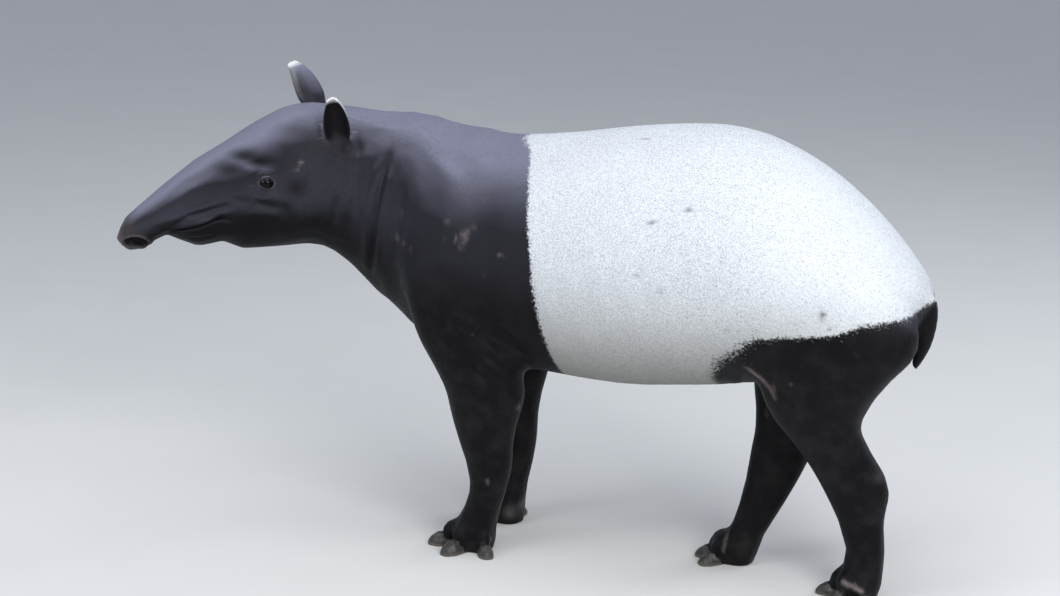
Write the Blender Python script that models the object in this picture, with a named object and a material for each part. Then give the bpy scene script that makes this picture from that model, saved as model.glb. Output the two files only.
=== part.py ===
"""A standing Malayan tapir, life size, as a still museum model.

The animal is modelled straight, facing -X with its left side towards -Y, in metres. Its body, legs and toes
are lofted, merged into one skin and parted with thin cuts. Then the neck is turned to the animal's left.
"""

import math

import bmesh
import bpy
import numpy as np
from mathutils import Matrix, Vector

# Driving dimensions, in metres and degrees. Lengths along the straight animal are x: the nose is at NOSE,
# the shoulders are near x = -0.45 and the rump ends at RUMP.
NOSE = -1.228
RUMP = 0.632
NECK_TURN = 36.0
NECK_TURN_START = -0.45
NECK_TURN_LENGTH = 0.38
GAP = 0.0003
MERGE_VOXEL = 0.006
FLESH_TRIANGLES = 3400

EYE = Vector((-0.905, 0.0765, 0.821))
EYE_RADIUS = 0.0180
EAR_HALF_WIDTH = 0.035
EAR_THICKNESS = 0.006
HOOF_LENGTH = 0.056
HOOF_WIDTH = 0.041
HOOF_HEIGHT = 0.038
TAIL_TOP = 0.670
TAIL_LENGTH = 0.164

# The profile of the straight body, as (x, z) from nose to rump.
BACK_LINE = [
    (-1.228, 0.692), (-1.216, 0.722), (-1.180, 0.760), (-1.120, 0.811), (-1.054, 0.862), (-0.986, 0.903),
    (-0.920, 0.945), (-0.852, 0.979), (-0.790, 0.991), (-0.700, 0.984), (-0.616, 0.979), (-0.524, 0.972),
    (-0.428, 0.952), (-0.340, 0.941), (-0.214, 0.951), (-0.030, 0.981), (0.148, 0.997), (0.237, 0.985),
    (0.326, 0.951), (0.416, 0.897), (0.504, 0.822), (0.584, 0.733), (0.616, 0.690), (0.632, 0.658),
]
UNDER_LINE = [
    (-1.228, 0.688), (-1.208, 0.665), (-1.178, 0.661), (-1.136, 0.687), (-1.116, 0.693), (-1.090, 0.682),
    (-1.044, 0.667), (-0.994, 0.675), (-0.944, 0.657), (-0.864, 0.660), (-0.760, 0.656), (-0.704, 0.616),
    (-0.638, 0.552), (-0.576, 0.500), (-0.500, 0.452), (-0.400, 0.420), (-0.220, 0.417), (-0.030, 0.412),
    (0.107, 0.424), (0.250, 0.444), (0.400, 0.480), (0.520, 0.522), (0.595, 0.575), (0.632, 0.645),
]
HALF_WIDTH = [
    (-1.228, 0.012), (-1.214, 0.030), (-1.185, 0.039), (-1.120, 0.047), (-1.040, 0.062), (-0.960, 0.079),
    (-0.905, 0.089), (-0.850, 0.099), (-0.790, 0.106), (-0.730, 0.111), (-0.660, 0.124), (-0.580, 0.152),
    (-0.500, 0.186), (-0.400, 0.216), (-0.280, 0.243), (-0.100, 0.277), (0.060, 0.290), (0.200, 0.288),
    (0.330, 0.270), (0.430, 0.246), (0.520, 0.210), (0.580, 0.166), (0.618, 0.110), (0.632, 0.050),
]
# Where each section is widest, as a share of its height, and how full its upper and lower halves are:
# an exponent of 2 is an ellipse, less is leaner and more is boxier.
WIDEST = [
    (-1.23, 0.55), (-1.10, 0.55), (-0.90, 0.48), (-0.75, 0.46), (-0.50, 0.46), (-0.20, 0.44), (0.66, 0.42),
]
UPPER_FULLNESS = [
    (-1.23, 2.3), (-1.05, 2.2), (-0.90, 2.1), (-0.70, 1.85), (-0.45, 1.80), (-0.10, 2.05), (0.66, 2.15),
]
LOWER_FULLNESS = [
    (-1.23, 2.2), (-1.10, 1.9), (-0.95, 1.9), (-0.70, 1.75), (-0.45, 1.85), (-0.10, 2.2), (0.66, 2.0),
]

# Each leg from the body down, as (height, middle x, middle |y|, half depth along x, half width along y).
FORE_LEG = [
    (0.760, -0.435, 0.120, 0.100, 0.052), (0.680, -0.420, 0.142, 0.126, 0.066),
    (0.590, -0.396, 0.150, 0.136, 0.074),
    (0.500, -0.366, 0.150, 0.125, 0.074), (0.430, -0.337, 0.146, 0.103, 0.068),
    (0.373, -0.321, 0.140, 0.093, 0.062),
    (0.307, -0.325, 0.131, 0.076, 0.056), (0.257, -0.323, 0.124, 0.064, 0.051),
    (0.205, -0.317, 0.118, 0.054, 0.047),
    (0.152, -0.320, 0.113, 0.044, 0.042), (0.105, -0.333, 0.110, 0.042, 0.043),
    (0.068, -0.346, 0.108, 0.046, 0.048),
    (0.036, -0.350, 0.107, 0.046, 0.049), (0.012, -0.348, 0.106, 0.042, 0.045),
    (-0.006, -0.348, 0.106, 0.034, 0.036),
]
HIND_LEG_BACK = [
    (0.780, 0.410, 0.125, 0.085, 0.060), (0.680, 0.445, 0.140, 0.160, 0.086),
    (0.590, 0.462, 0.150, 0.174, 0.090),
    (0.510, 0.440, 0.150, 0.142, 0.084), (0.450, 0.422, 0.140, 0.118, 0.076),
    (0.400, 0.424, 0.127, 0.095, 0.066),
    (0.350, 0.453, 0.113, 0.084, 0.057), (0.300, 0.486, 0.100, 0.083, 0.050),
    (0.258, 0.505, 0.089, 0.079, 0.045),
    (0.225, 0.512, 0.082, 0.069, 0.042), (0.190, 0.517, 0.075, 0.056, 0.040),
    (0.150, 0.525, 0.070, 0.047, 0.038),
    (0.108, 0.532, 0.066, 0.043, 0.038), (0.068, 0.529, 0.064, 0.045, 0.043),
    (0.036, 0.523, 0.062, 0.049, 0.046),
    (0.012, 0.521, 0.062, 0.045, 0.042), (-0.006, 0.521, 0.062, 0.037, 0.034),
]
HIND_LEG_FORWARD = [
    (0.780, 0.405, 0.125, 0.085, 0.060), (0.680, 0.425, 0.140, 0.160, 0.086),
    (0.590, 0.402, 0.150, 0.180, 0.090),
    (0.510, 0.371, 0.148, 0.163, 0.084), (0.450, 0.342, 0.138, 0.134, 0.076),
    (0.400, 0.322, 0.124, 0.102, 0.066),
    (0.350, 0.314, 0.108, 0.084, 0.057), (0.300, 0.311, 0.094, 0.077, 0.050),
    (0.262, 0.302, 0.083, 0.073, 0.045),
    (0.215, 0.291, 0.074, 0.064, 0.041), (0.169, 0.277, 0.067, 0.056, 0.039),
    (0.123, 0.260, 0.061, 0.048, 0.038),
    (0.085, 0.244, 0.057, 0.044, 0.039), (0.055, 0.230, 0.055, 0.045, 0.043),
    (0.030, 0.221, 0.054, 0.048, 0.046),
    (0.010, 0.217, 0.054, 0.044, 0.042), (-0.006, 0.217, 0.054, 0.036, 0.034),
]
# Each toe, as (name, degrees outward from straight ahead, reach of the hoof's tip, size to the main toe's).
FORE_TOES = [
    ("inner", -30, 0.100, 0.86), ("middle", 8, 0.116, 1.0),
    ("outer", 58, 0.098, 1.05), ("small", 130, 0.086, 0.90),
]
FORE_TOES_AHEAD = [*FORE_TOES[:3], ("small", 104, 0.070, 0.84)]
HIND_TOES = [("inner", -42, 0.092, 0.95), ("middle", 0, 0.094, 1.0), ("outer", 46, 0.082, 0.80)]
HIND_TOES_OUT = [("inner", 2, 0.092, 0.92), ("middle", 58, 0.090, 1.0), ("outer", 116, 0.076, 0.88)]
# Each leg's stations, its side, how far its foot and its top at the elbow are moved along x, and its toes.
LEGS = {
    "fore_left": (FORE_LEG, -1, (0.0, 0.0), FORE_TOES),
    "fore_right": (FORE_LEG, 1, (-0.005, -0.046), FORE_TOES_AHEAD),
    "hind_left": (HIND_LEG_BACK, -1, (0.0, 0.0), HIND_TOES_OUT),
    "hind_right": (HIND_LEG_FORWARD, 1, (0.0, 0.0), HIND_TOES),
}

# Each ear's base, tip and the way that it opens, on the straight animal.
EARS = {
    "ear_left": (
        Vector((-0.728, -0.088, 0.893)), Vector((-0.753, -0.128, 1.016)), Vector((-0.20, -0.96, 0.12)),
    ),
    "ear_right": (
        Vector((-0.772, 0.070, 0.948)), Vector((-0.817, 0.110, 1.066)), Vector((-0.65, 0.72, 0.10)),
    ),
}

# Soft swells and hollows on both sides, as (x, |y|, z), (reach along x, y, z), height. A hollow is negative.
SWELLS = [
    ((-0.835, 0.100, 0.735), (0.055, 0.060, 0.055), 0.007),
    ((-0.885, 0.090, 0.785), (0.050, 0.040, 0.014), 0.004),
    ((-0.905, 0.075, 0.868), (0.032, 0.050, 0.020), -0.005),
    ((-1.010, 0.055, 0.800), (0.060, 0.050, 0.028), -0.004),
    ((-1.060, 0.050, 0.735), (0.060, 0.040, 0.012), 0.004),
    ((-0.680, 0.130, 0.700), (0.045, 0.080, 0.120), -0.006),
    ((-0.450, 0.200, 0.760), (0.090, 0.080, 0.130), 0.010),
    ((-0.290, 0.220, 0.560), (0.050, 0.080, 0.110), -0.008),
    ((0.240, 0.240, 0.560), (0.060, 0.090, 0.120), -0.008),
    ((0.400, 0.210, 0.700), (0.130, 0.090, 0.130), 0.008),
]

# The edges of the white saddle on the flanks, as (x, z).
SADDLE_FRONT = [
    (-0.305, 1.10), (-0.305, 0.945), (-0.260, 0.922), (-0.228, 0.879), (-0.205, 0.820), (-0.185, 0.725),
    (-0.171, 0.653), (-0.157, 0.570), (-0.143, 0.486), (-0.135, 0.400), (-0.130, 0.300),
]
SADDLE_REAR = [
    (0.190, 0.340), (0.231, 0.480), (0.265, 0.537), (0.313, 0.578), (0.385, 0.601), (0.467, 0.621),
    (0.544, 0.647), (0.610, 0.656), (0.720, 0.650),
]

# The line of the mouth from its front notch, and on along the cheek to the angle of the jaw, as (x, z).
MOUTH = [
    (-1.140, 0.640), (-1.118, 0.700), (-1.090, 0.711), (-1.062, 0.718), (-1.041, 0.725), (-1.005, 0.738),
    (-0.960, 0.735), (-0.820, 0.728), (-0.790, 0.600),
]

# Thin cuts that part the flesh, as (name, walls along x and z, lowest y, highest y). Each wall is a polyline.
ALL_Y = (-0.5, 0.5)
LEFT_Y = (-0.5, 0.0)
RIGHT_Y = (0.0, 0.5)
CUTS = [
    ("mouth", MOUTH, ALL_Y),
    ("muzzle", [(-1.050, 0.95), (-1.062, 0.7160)], ALL_Y),
    ("throat", [(-0.700, 1.10), (-0.700, 0.45)], ALL_Y),
    ("withers", [(-0.560, 1.10), (-0.560, 0.35)], ALL_Y),
    ("girth", SADDLE_FRONT, ALL_Y),
    ("loin", [(0.120, 1.10), (0.120, 0.30)], ALL_Y),
    ("saddle", SADDLE_REAR, ALL_Y),
    ("elbow", [(-0.60, 0.382), (-0.20, 0.372)], ALL_Y),
    ("knee_left", [(0.20, 0.375), (0.70, 0.425)], LEFT_Y),
    ("knee_right", [(0.15, 0.405), (0.70, 0.405)], RIGHT_Y),
    ("fetlock_fore", [(-0.60, 0.095), (-0.20, 0.095)], ALL_Y),
    ("fetlock_hind", [(0.05, 0.100), (0.70, 0.100)], ALL_Y),
]

# A point inside each piece of flesh, which gives it its name.
FLESH = {
    "proboscis": (-1.13, 0.0, 0.76),
    "head": (-0.88, 0.0, 0.86),
    "lower_jaw": (-0.95, 0.0, 0.685),
    "neck": (-0.63, 0.0, 0.80),
    "shoulders": (-0.42, 0.0, 0.75),
    "barrel": (0.0, 0.0, 0.70),
    "rump": (0.34, 0.0, 0.78),
    "thighs": (0.44, 0.0, 0.52),
    "foreleg_left": (-0.335, -0.125, 0.26),
    "foreleg_right": (-0.353, 0.125, 0.26),
    "hindleg_left": (0.495, -0.085, 0.24),
    "hindleg_right": (0.295, 0.08, 0.24),
    "forefoot_left": (-0.35, -0.107, 0.05),
    "forefoot_right": (-0.37, 0.107, 0.05),
    "hindfoot_left": (0.515, -0.062, 0.05),
    "hindfoot_right": (0.225, 0.054, 0.05),
}
COLOURS = {
    "coat_black": ((0.020, 0.019, 0.022), 0.55),
    "coat_white": ((0.62, 0.63, 0.65), 0.65),
    "eye": ((0.012, 0.008, 0.007), 0.08),
    "hoof": ((0.085, 0.078, 0.070), 0.45),
}
WHITE_NODES = ("barrel", "rump")


def clear_scene():
    for thing in list(bpy.data.objects):
        bpy.data.objects.remove(thing)


def material(slot):
    """The Principled material of one slot, made once."""
    found = bpy.data.materials.get(slot)
    if found:
        return found
    made = bpy.data.materials.new(slot)
    made.use_nodes = True
    shader = made.node_tree.nodes["Principled BSDF"]
    colour, roughness = COLOURS[slot]
    shader.inputs["Base Color"].default_value = (*colour, 1.0)
    shader.inputs["Roughness"].default_value = roughness
    shader.inputs["Metallic"].default_value = 0.0
    return made


def smooth_line(points, x):
    """The height at x of a smooth curve through points, with no overshoot between them."""
    xs = np.array([p[0] for p in points], float)
    ys = np.array([p[1] for p in points], float)
    steps, rises = np.diff(xs), np.diff(ys)
    slopes = rises / steps
    tangents = np.concatenate([[slopes[0]], (slopes[:-1] + slopes[1:]) / 2, [slopes[-1]]])
    turning = slopes[:-1] * slopes[1:] <= 0
    tangents[1:-1][turning] = 0.0
    i = np.clip(np.searchsorted(xs, x) - 1, 0, len(steps) - 1)
    t = np.clip((x - xs[i]) / steps[i], 0.0, 1.0)
    rise = ys[i] * (2 * t**3 - 3 * t**2 + 1) + ys[i + 1] * (3 * t**2 - 2 * t**3)
    return rise + steps[i] * (tangents[i] * (t**3 - 2 * t**2 + t) + tangents[i + 1] * (t**3 - t**2))


def object_of(name, bm):
    mesh = bpy.data.meshes.new(name)
    bmesh.ops.recalc_face_normals(bm, faces=bm.faces)
    bmesh.ops.triangulate(bm, faces=bm.faces)
    bm.to_mesh(mesh)
    bm.free()
    made = bpy.data.objects.new(name, mesh)
    bpy.context.scene.collection.objects.link(made)
    return made


def loft(name, rings):
    """A closed tube through rings of points, all of one count, with flat ends."""
    bm = bmesh.new()
    loops = [[bm.verts.new(point) for point in ring] for ring in rings]
    count = len(loops[0])
    for low, high in zip(loops, loops[1:]):
        for i in range(count):
            j = (i + 1) % count
            bm.faces.new((low[i], low[j], high[j], high[i]))
    bm.faces.new(loops[0])
    bm.faces.new(loops[-1])
    return object_of(name, bm)


def rounded(angle, fullness):
    """The point of a unit superellipse at that angle."""
    c, s = math.cos(angle), math.sin(angle)
    power = 2.0 / fullness
    return math.copysign(abs(c) ** power, c), math.copysign(abs(s) ** power, s)


def body():
    """Head, neck and trunk in one loft of upright sections."""
    rings, sides = [], 48
    count = 150
    for k in range(count + 1):
        share = k / count
        x = NOSE + (RUMP - NOSE) * (share - math.sin(2 * math.pi * share) / (2 * math.pi) * 0.55)
        top, under, half = (float(smooth_line(line, x)) for line in (BACK_LINE, UNDER_LINE, HALF_WIDTH))
        upper, lower = float(smooth_line(UPPER_FULLNESS, x)), float(smooth_line(LOWER_FULLNESS, x))
        middle = under + (top - under) * float(smooth_line(WIDEST, x))
        ring = []
        for i in range(sides):
            y, z = rounded(2 * math.pi * i / sides, upper if i < sides / 2 else lower)
            ring.append((x, half * y, middle + (top - middle if z > 0 else middle - under) * z))
        rings.append(ring)
    return loft("body", rings)


def leg(name, stations, side, shift):
    """One leg and the upper part of its foot, in level sections."""
    heights = [row[0] for row in stations]
    rings, sides, count = [], 28, 46
    for k in range(count + 1):
        z = heights[0] + (heights[-1] - heights[0]) * k / count
        ordered = sorted((row[0], *row[1:]) for row in stations)
        x, y, deep, wide = (
            float(smooth_line([(row[0], row[n]) for row in ordered], z)) for n in (1, 2, 3, 4)
        )
        x += shift[0] + (shift[1] - shift[0]) * min(max(z / 0.40, 0.0), 1.0)
        rings.append([
            (x + deep * c, side * (y + wide * s), z)
            for c, s in (rounded(2 * math.pi * i / sides, 2.2) for i in range(sides))
        ])
    return loft(name, rings)


def foot_middle(stations, side, shift):
    _, x, y, _, _ = stations[-1]
    return Vector((x + shift[0], side * y, 0.0))


def toe_way(degrees_out, side):
    """The level direction in which a toe points."""
    turn = math.radians(degrees_out)
    return Vector((-math.cos(turn), side * math.sin(turn), 0.0))


def toe(name, middle, way, reach, size):
    """A fleshy toe from the middle of the foot down into its hoof."""
    start = middle + way * 0.014 + Vector((0, 0, 0.060))
    end = middle + way * (reach - HOOF_LENGTH * size * 0.62) + Vector((0, 0, 0.021 * size))
    across = Vector((-way.y, way.x, 0.0))
    rings = []
    for k in range(9):
        share = k / 8
        centre = start.lerp(end, share) + Vector((0, 0, 0.008 * math.sin(math.pi * share)))
        radius = (0.025 - 0.005 * share) * (0.35 + 0.65 * size)
        radius *= math.sqrt(max(0.08, 1 - (2 * abs(share - 0.5)) ** 6))
        up = across.cross((end - start).normalized())
        rings.append([
            centre + across * (radius * math.cos(a)) + up * (radius * 0.95 * math.sin(a))
            for a in (2 * math.pi * i / 16 for i in range(16))
        ])
    return loft(name, rings)


def hoof(name, middle, way, reach, size, grow=0.0):
    """A short hoof with a domed top and a flat sole at floor level. Grown by a gap, it cuts its own seat."""
    across = Vector((-way.y, way.x, 0.0))
    tip = middle + way * (reach + grow)
    length = HOOF_LENGTH * size + 2 * grow
    rings, sides = [], 10
    for share, wide, tall in ((0.0, 0.36, 0.24), (0.12, 0.72, 0.48), (0.42, 1.0, 0.80), (1.0, 0.70, 1.0)):
        centre = tip - way * (length * share)
        half = HOOF_WIDTH * size / 2 * wide + grow
        height = HOOF_HEIGHT * size * tall + grow
        ring = []
        for i in range(sides):
            y, z = rounded(2 * math.pi * (i + 0.5) / sides, 2.4)
            ring.append(centre + across * (half * y) + Vector((0, 0, max(-grow, height * z))))
        rings.append(ring)
    return loft(name, rings)


def tail():
    """A short thick tail with a blunt end, which hangs down the rump and is tucked between the thighs."""
    rings, sides, count = [], 10, 7
    for k in range(count + 1):
        share = k / count
        x = 0.618 + 0.006 * math.sin(math.pi * share) - 0.022 * share**2
        centre = Vector((x, 0.0, TAIL_TOP - TAIL_LENGTH * share))
        radius = (0.027 - 0.004 * share) * math.sqrt(max(0.30, 1 - share**6))
        rings.append([
            centre + Vector((radius * 0.9 * math.cos(a), radius * math.sin(a), 0.0))
            for a in (2 * math.pi * i / sides for i in range(sides))
        ])
    return loft("tail", rings)


def ear(name, base, tip, facing):
    """A cupped, round-tipped ear of even thickness, open towards facing and narrow at its base."""
    up = (tip - base).normalized()
    across = up.cross(facing).normalized()
    face = across.cross(up).normalized()
    length = (tip - base).length
    rows, columns = 9, 6
    bm = bmesh.new()
    grid = []
    for j in range(rows + 1):
        share = j / rows
        half = EAR_HALF_WIDTH * math.sin(math.pi * (0.12 + 0.80 * share)) ** 0.62
        wrap = math.radians(95 - 50 * min(1.0, share * 1.2))
        radius = half / math.sin(min(wrap, math.pi / 2))
        row = []
        for i in range(columns + 1):
            angle = wrap * (2 * i / columns - 1)
            rise = length * (share - 0.04 * share * (i / columns * 2 - 1) ** 2)
            out = radius * (math.cos(wrap) * 0.5 - math.cos(angle)) + 0.012 * share
            row.append(bm.verts.new(base + up * rise + across * (radius * math.sin(angle)) + face * out))
        grid.append(row)
    for low, high in zip(grid, grid[1:]):
        for i in range(columns):
            bm.faces.new((low[i], low[i + 1], high[i + 1], high[i]))
    made = object_of(name, bm)
    shell = made.modifiers.new("thickness", "SOLIDIFY")
    shell.thickness = EAR_THICKNESS
    shell.offset = 0.0
    bake(made)
    return made


def ball(name, centre, radius, segments, rings):
    bm = bmesh.new()
    bmesh.ops.create_uvsphere(bm, u_segments=segments, v_segments=rings, radius=radius)
    bmesh.ops.rotate(bm, verts=bm.verts, matrix=Matrix.Rotation(math.radians(90), 3, "X"))
    bmesh.ops.translate(bm, verts=bm.verts, vec=centre)
    return object_of(name, bm)


def bake(thing):
    """Replaces a mesh by what its modifiers make of it."""
    graph = bpy.context.evaluated_depsgraph_get()
    graph.update()
    made = bpy.data.meshes.new_from_object(thing.evaluated_get(graph))
    thing.modifiers.clear()
    thing.data = made


def joined(name, things):
    """One object that holds the meshes of several, which go."""
    bm = bmesh.new()
    for thing in things:
        bm.from_mesh(thing.data)
        bpy.data.objects.remove(thing)
    return object_of(name, bm)


def places(mesh):
    points = np.empty(len(mesh.vertices) * 3)
    mesh.vertices.foreach_get("co", points)
    return points.reshape(-1, 3)


def swell(mesh):
    """Moves the skin in or out by SWELLS, along its normals, on both sides."""
    points = places(mesh)
    normals = np.empty(len(points) * 3)
    mesh.vertices.foreach_get("normal", normals)
    lift = np.zeros(len(points))
    side_on = np.column_stack([points[:, 0], np.abs(points[:, 1]), points[:, 2]])
    for centre, reach, height in SWELLS:
        away = (side_on - np.array(centre)) / np.array(reach)
        lift += height * np.exp(-(away**2).sum(axis=1))
    points += normals.reshape(-1, 3) * lift[:, None]
    mesh.vertices.foreach_set("co", points.ravel())
    mesh.update()


def merge_flesh(things):
    """One closed skin round all the lofts, softened where they meet, of about FLESH_TRIANGLES triangles."""
    flesh = joined("flesh", things)
    remesh = flesh.modifiers.new("merge", "REMESH")
    remesh.mode = "VOXEL"
    remesh.voxel_size = MERGE_VOXEL
    bake(flesh)
    points = places(flesh.data)
    trunk = flesh.vertex_groups.new(name="trunk")
    x, z = points[:, 0], points[:, 2]
    rise = 0.4 * np.clip((z - 0.10) / 0.15, 0, 1) + 0.6 * np.clip((z - 0.40) / 0.12, 0, 1)
    soft = rise * np.clip((x + 0.85) / 0.10, 0, 1)
    for index, weight in enumerate(soft):
        if weight > 0:
            trunk.add([index], float(weight), "REPLACE")
    for group, factor, rounds in (("", 0.5, 3), ("trunk", 0.5, 70)):
        smooth = flesh.modifiers.new("soften", "SMOOTH")
        smooth.factor = factor
        smooth.iterations = rounds
        smooth.vertex_group = group
    bake(flesh)
    swell(flesh.data)
    thin = flesh.modifiers.new("thin_out", "DECIMATE")
    thin.ratio = FLESH_TRIANGLES / (2 * len(flesh.data.polygons))
    bake(flesh)
    return flesh


def cut(thing, cutter, operation="DIFFERENCE"):
    """Applies one Boolean and removes its cutter."""
    boolean = thing.modifiers.new("cut", "BOOLEAN")
    boolean.operation = operation
    boolean.solver = "EXACT"
    boolean.object = cutter
    bake(thing)
    bpy.data.objects.remove(cutter)


def grown(thing):
    """A copy of a mesh, a little larger all round, to cut its seat."""
    copy = thing.copy()
    copy.data = thing.data.copy()
    bpy.context.scene.collection.objects.link(copy)
    points = places(copy.data)
    normals = np.empty(len(points) * 3)
    copy.data.vertices.foreach_get("normal", normals)
    copy.data.vertices.foreach_set("co", (points + normals.reshape(-1, 3) * GAP * 1.5).ravel())
    copy.data.update()
    return copy


def wall(name, line, y_range):
    """A closed sheet one gap thick along a polyline in x and z."""
    points = [Vector((x, 0.0, z)) for x, z in line]
    rings = []
    for i, point in enumerate(points):
        before, after = points[max(i - 1, 0)], points[min(i + 1, len(points) - 1)]
        along = (after - before).normalized()
        aside = Vector((-along.z, 0.0, along.x)) * (GAP / 2)
        low, high = Vector((0, y_range[0], 0)), Vector((0, y_range[1], 0))
        rings.append([point - aside + low, point + aside + low, point + aside + high, point - aside + high])
    return loft(name, rings)


def floor_cutter():
    """A block whose top is the floor, which gives the pads their flats."""
    bm = bmesh.new()
    bmesh.ops.create_cube(bm, size=1.0)
    bmesh.ops.scale(bm, vec=(2.0, 1.0, 0.1), verts=bm.verts)
    bmesh.ops.translate(bm, vec=(0.0, 0.0, -0.05), verts=bm.verts)
    return object_of("floor", bm)


def loose_pieces(thing):
    """The separate bodies of a mesh, each as an object of its own."""
    bm = bmesh.new()
    bm.from_mesh(thing.data)
    bm.verts.ensure_lookup_table()
    unseen, pieces = set(bm.verts), []
    while unseen:
        todo, body_verts = [unseen.pop()], []
        while todo:
            vert = todo.pop()
            body_verts.append(vert)
            for edge in vert.link_edges:
                other = edge.other_vert(vert)
                if other in unseen:
                    unseen.discard(other)
                    todo.append(other)
        pieces.append(body_verts)
    made = []
    for k, body_verts in enumerate(pieces):
        part = bmesh.new()
        copies = {vert: part.verts.new(vert.co) for vert in sorted(body_verts, key=lambda v: v.index)}
        faces = {face for vert in body_verts for face in vert.link_faces}
        for face in sorted(faces, key=lambda f: f.index):
            part.faces.new([copies[vert] for vert in face.verts])
        made.append(object_of(f"piece_{k}", part))
    bm.free()
    bpy.data.objects.remove(thing)
    return made


def centre_of(thing):
    return Vector(places(thing.data).mean(axis=0))


def name_flesh(pieces):
    """Names each piece after the nearest point of FLESH. Crumbs that a cut may leave go."""
    for piece in sorted(pieces, key=lambda p: -len(p.data.vertices)):
        centre = centre_of(piece)
        name = min(FLESH, key=lambda n: (Vector(FLESH[n]) - centre).length)
        if name in bpy.data.objects:
            bpy.data.objects.remove(piece)
        else:
            piece.name = name


def turned(points):
    """Points of the straight animal, moved to where the turned neck carries them."""
    turn = math.radians(NECK_TURN)
    bend = turn / NECK_TURN_LENGTH
    ahead = NECK_TURN_START - points[:, 0]
    angle = np.clip(ahead * bend, 0.0, turn)
    beyond = np.maximum(ahead - NECK_TURN_LENGTH, 0.0)
    line_x = NECK_TURN_START - np.sin(angle) / bend - beyond * math.cos(turn)
    line_x = np.where(ahead > 0, line_x, points[:, 0])
    line_y = -(1 - np.cos(angle)) / bend - beyond * math.sin(turn)
    return np.column_stack([
        line_x - points[:, 1] * np.sin(angle), line_y + points[:, 1] * np.cos(angle), points[:, 2],
    ])


def finish(names):
    """Turns the neck, puts the origin under the middle of the whole animal and shades each piece."""
    shapes = {name: turned(places(bpy.data.objects[name].data)) for name in names}
    every = np.concatenate(list(shapes.values()))
    middle = (every.min(axis=0) + every.max(axis=0)) / 2
    shift = np.array([middle[0], middle[1], 0.0])
    for name, points in shapes.items():
        thing = bpy.data.objects[name]
        thing.data.vertices.foreach_set("co", (points - shift).ravel())
        thing.data.update()
        slot = "coat_white" if name in WHITE_NODES else "coat_black"
        slot = "eye" if name.startswith("eye") else "hoof" if name.startswith("hoof") else slot
        thing.data.materials.clear()
        thing.data.materials.append(material(slot))
        thing.data.shade_smooth()
        thing.data.set_sharp_from_angle(angle=math.radians(40))


def main():
    clear_scene()
    lofts, hooves, seats = [body()], [], []
    for where, (stations, side, shift, toes) in LEGS.items():
        lofts.append(leg(where, stations, side, shift))
        middle = foot_middle(stations, side, shift)
        for toe_name, degrees_out, reach, size in toes:
            way = toe_way(degrees_out, side)
            lofts.append(toe("toe", middle, way, reach, size))
            hooves.append(hoof(f"hoof_{where}_{toe_name}", middle, way, reach, size))
            seats.append(hoof("seat", middle, way, reach, size, grow=GAP))
    flesh = merge_flesh(lofts)
    cut(flesh, floor_cutter())
    for seat in seats:
        cut(flesh, seat)
    eyes = []
    for side_name, side in (("left", -1), ("right", 1)):
        centre = Vector((EYE.x, side * EYE.y, EYE.z))
        cut(flesh, ball("socket", centre, EYE_RADIUS + GAP, 14, 8))
        eyes.append(ball(f"eye_{side_name}", centre, EYE_RADIUS, 14, 8))
    ears = [ear(name, *placing) for name, placing in EARS.items()]
    for thing in (*ears, tail()):
        cut(flesh, grown(thing))
    for name, line, y_range in CUTS:
        cut(flesh, wall(name, line, y_range))
    name_flesh(loose_pieces(flesh))
    names = [thing.name for thing in (*eyes, *ears, *hooves)] + ["tail", *FLESH]
    finish(names)


main()
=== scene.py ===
"""The looks of a standing Malayan tapir: one skin, a short coat, eyes and hooves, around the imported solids.

Places on the animal are given on its straight body, in metres: x from nose to tail, y to its right, z up.
The function turned() carries them to where the turned neck holds them. straightened() brings points back.
"""

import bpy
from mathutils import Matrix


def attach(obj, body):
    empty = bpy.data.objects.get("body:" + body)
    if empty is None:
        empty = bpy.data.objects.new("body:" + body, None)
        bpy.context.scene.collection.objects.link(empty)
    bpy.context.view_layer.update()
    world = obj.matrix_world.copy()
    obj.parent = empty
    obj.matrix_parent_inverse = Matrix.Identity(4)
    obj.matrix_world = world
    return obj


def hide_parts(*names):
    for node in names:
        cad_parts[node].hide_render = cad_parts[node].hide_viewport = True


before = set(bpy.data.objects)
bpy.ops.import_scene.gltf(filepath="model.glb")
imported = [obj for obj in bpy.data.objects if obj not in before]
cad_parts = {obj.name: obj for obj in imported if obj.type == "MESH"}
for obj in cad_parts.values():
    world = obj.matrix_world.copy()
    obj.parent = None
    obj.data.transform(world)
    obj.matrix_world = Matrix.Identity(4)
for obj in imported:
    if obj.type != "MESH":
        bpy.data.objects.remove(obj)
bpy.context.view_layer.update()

import math

import bmesh
import bpy
import numpy as np
from mathutils import Matrix, Vector
from mathutils.bvhtree import BVHTree

SEED = 20

# The neck's turn, as in the solids.
NECK_TURN = math.radians(36.0)
NECK_START = -0.45
NECK_LENGTH = 0.38
NECK_BEND = NECK_TURN / NECK_LENGTH

# The camera, fitted to the photo. Its place is in the row frame, and the photo is 1060 pixels wide.
CAMERA_PLACE = Vector((1.6197, -4.4916, 1.7))
CAMERA_YAW = math.radians(20.0)
CAMERA_PITCH = math.radians(13.2)
CAMERA_ROLL = math.radians(1.5)
FOCAL_PIXELS = 2200.0
PHOTO_WIDTH = 1060.0
SENSOR_WIDTH = 36.0

# The eye in the straight animal, and the opening between its lids.
EYE = np.array([-0.905, 0.0765, 0.821])
EYE_RADIUS = 0.018
LID_THICKNESS = 0.0018
LID_DEPTH = 0.0035
LID_HALF_LENGTH = 0.015
LID_HALF_HEIGHT = 0.012
NOSTRIL = np.array([-1.188, 0.03, 0.684])
NOSTRIL_HALF = (0.0275, 0.0115)
NOSTRIL_DEPTH = 0.018
NOSE_X = -1.12
EYE_PATCH = 0.03
EAR_REACH = 0.085

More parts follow.
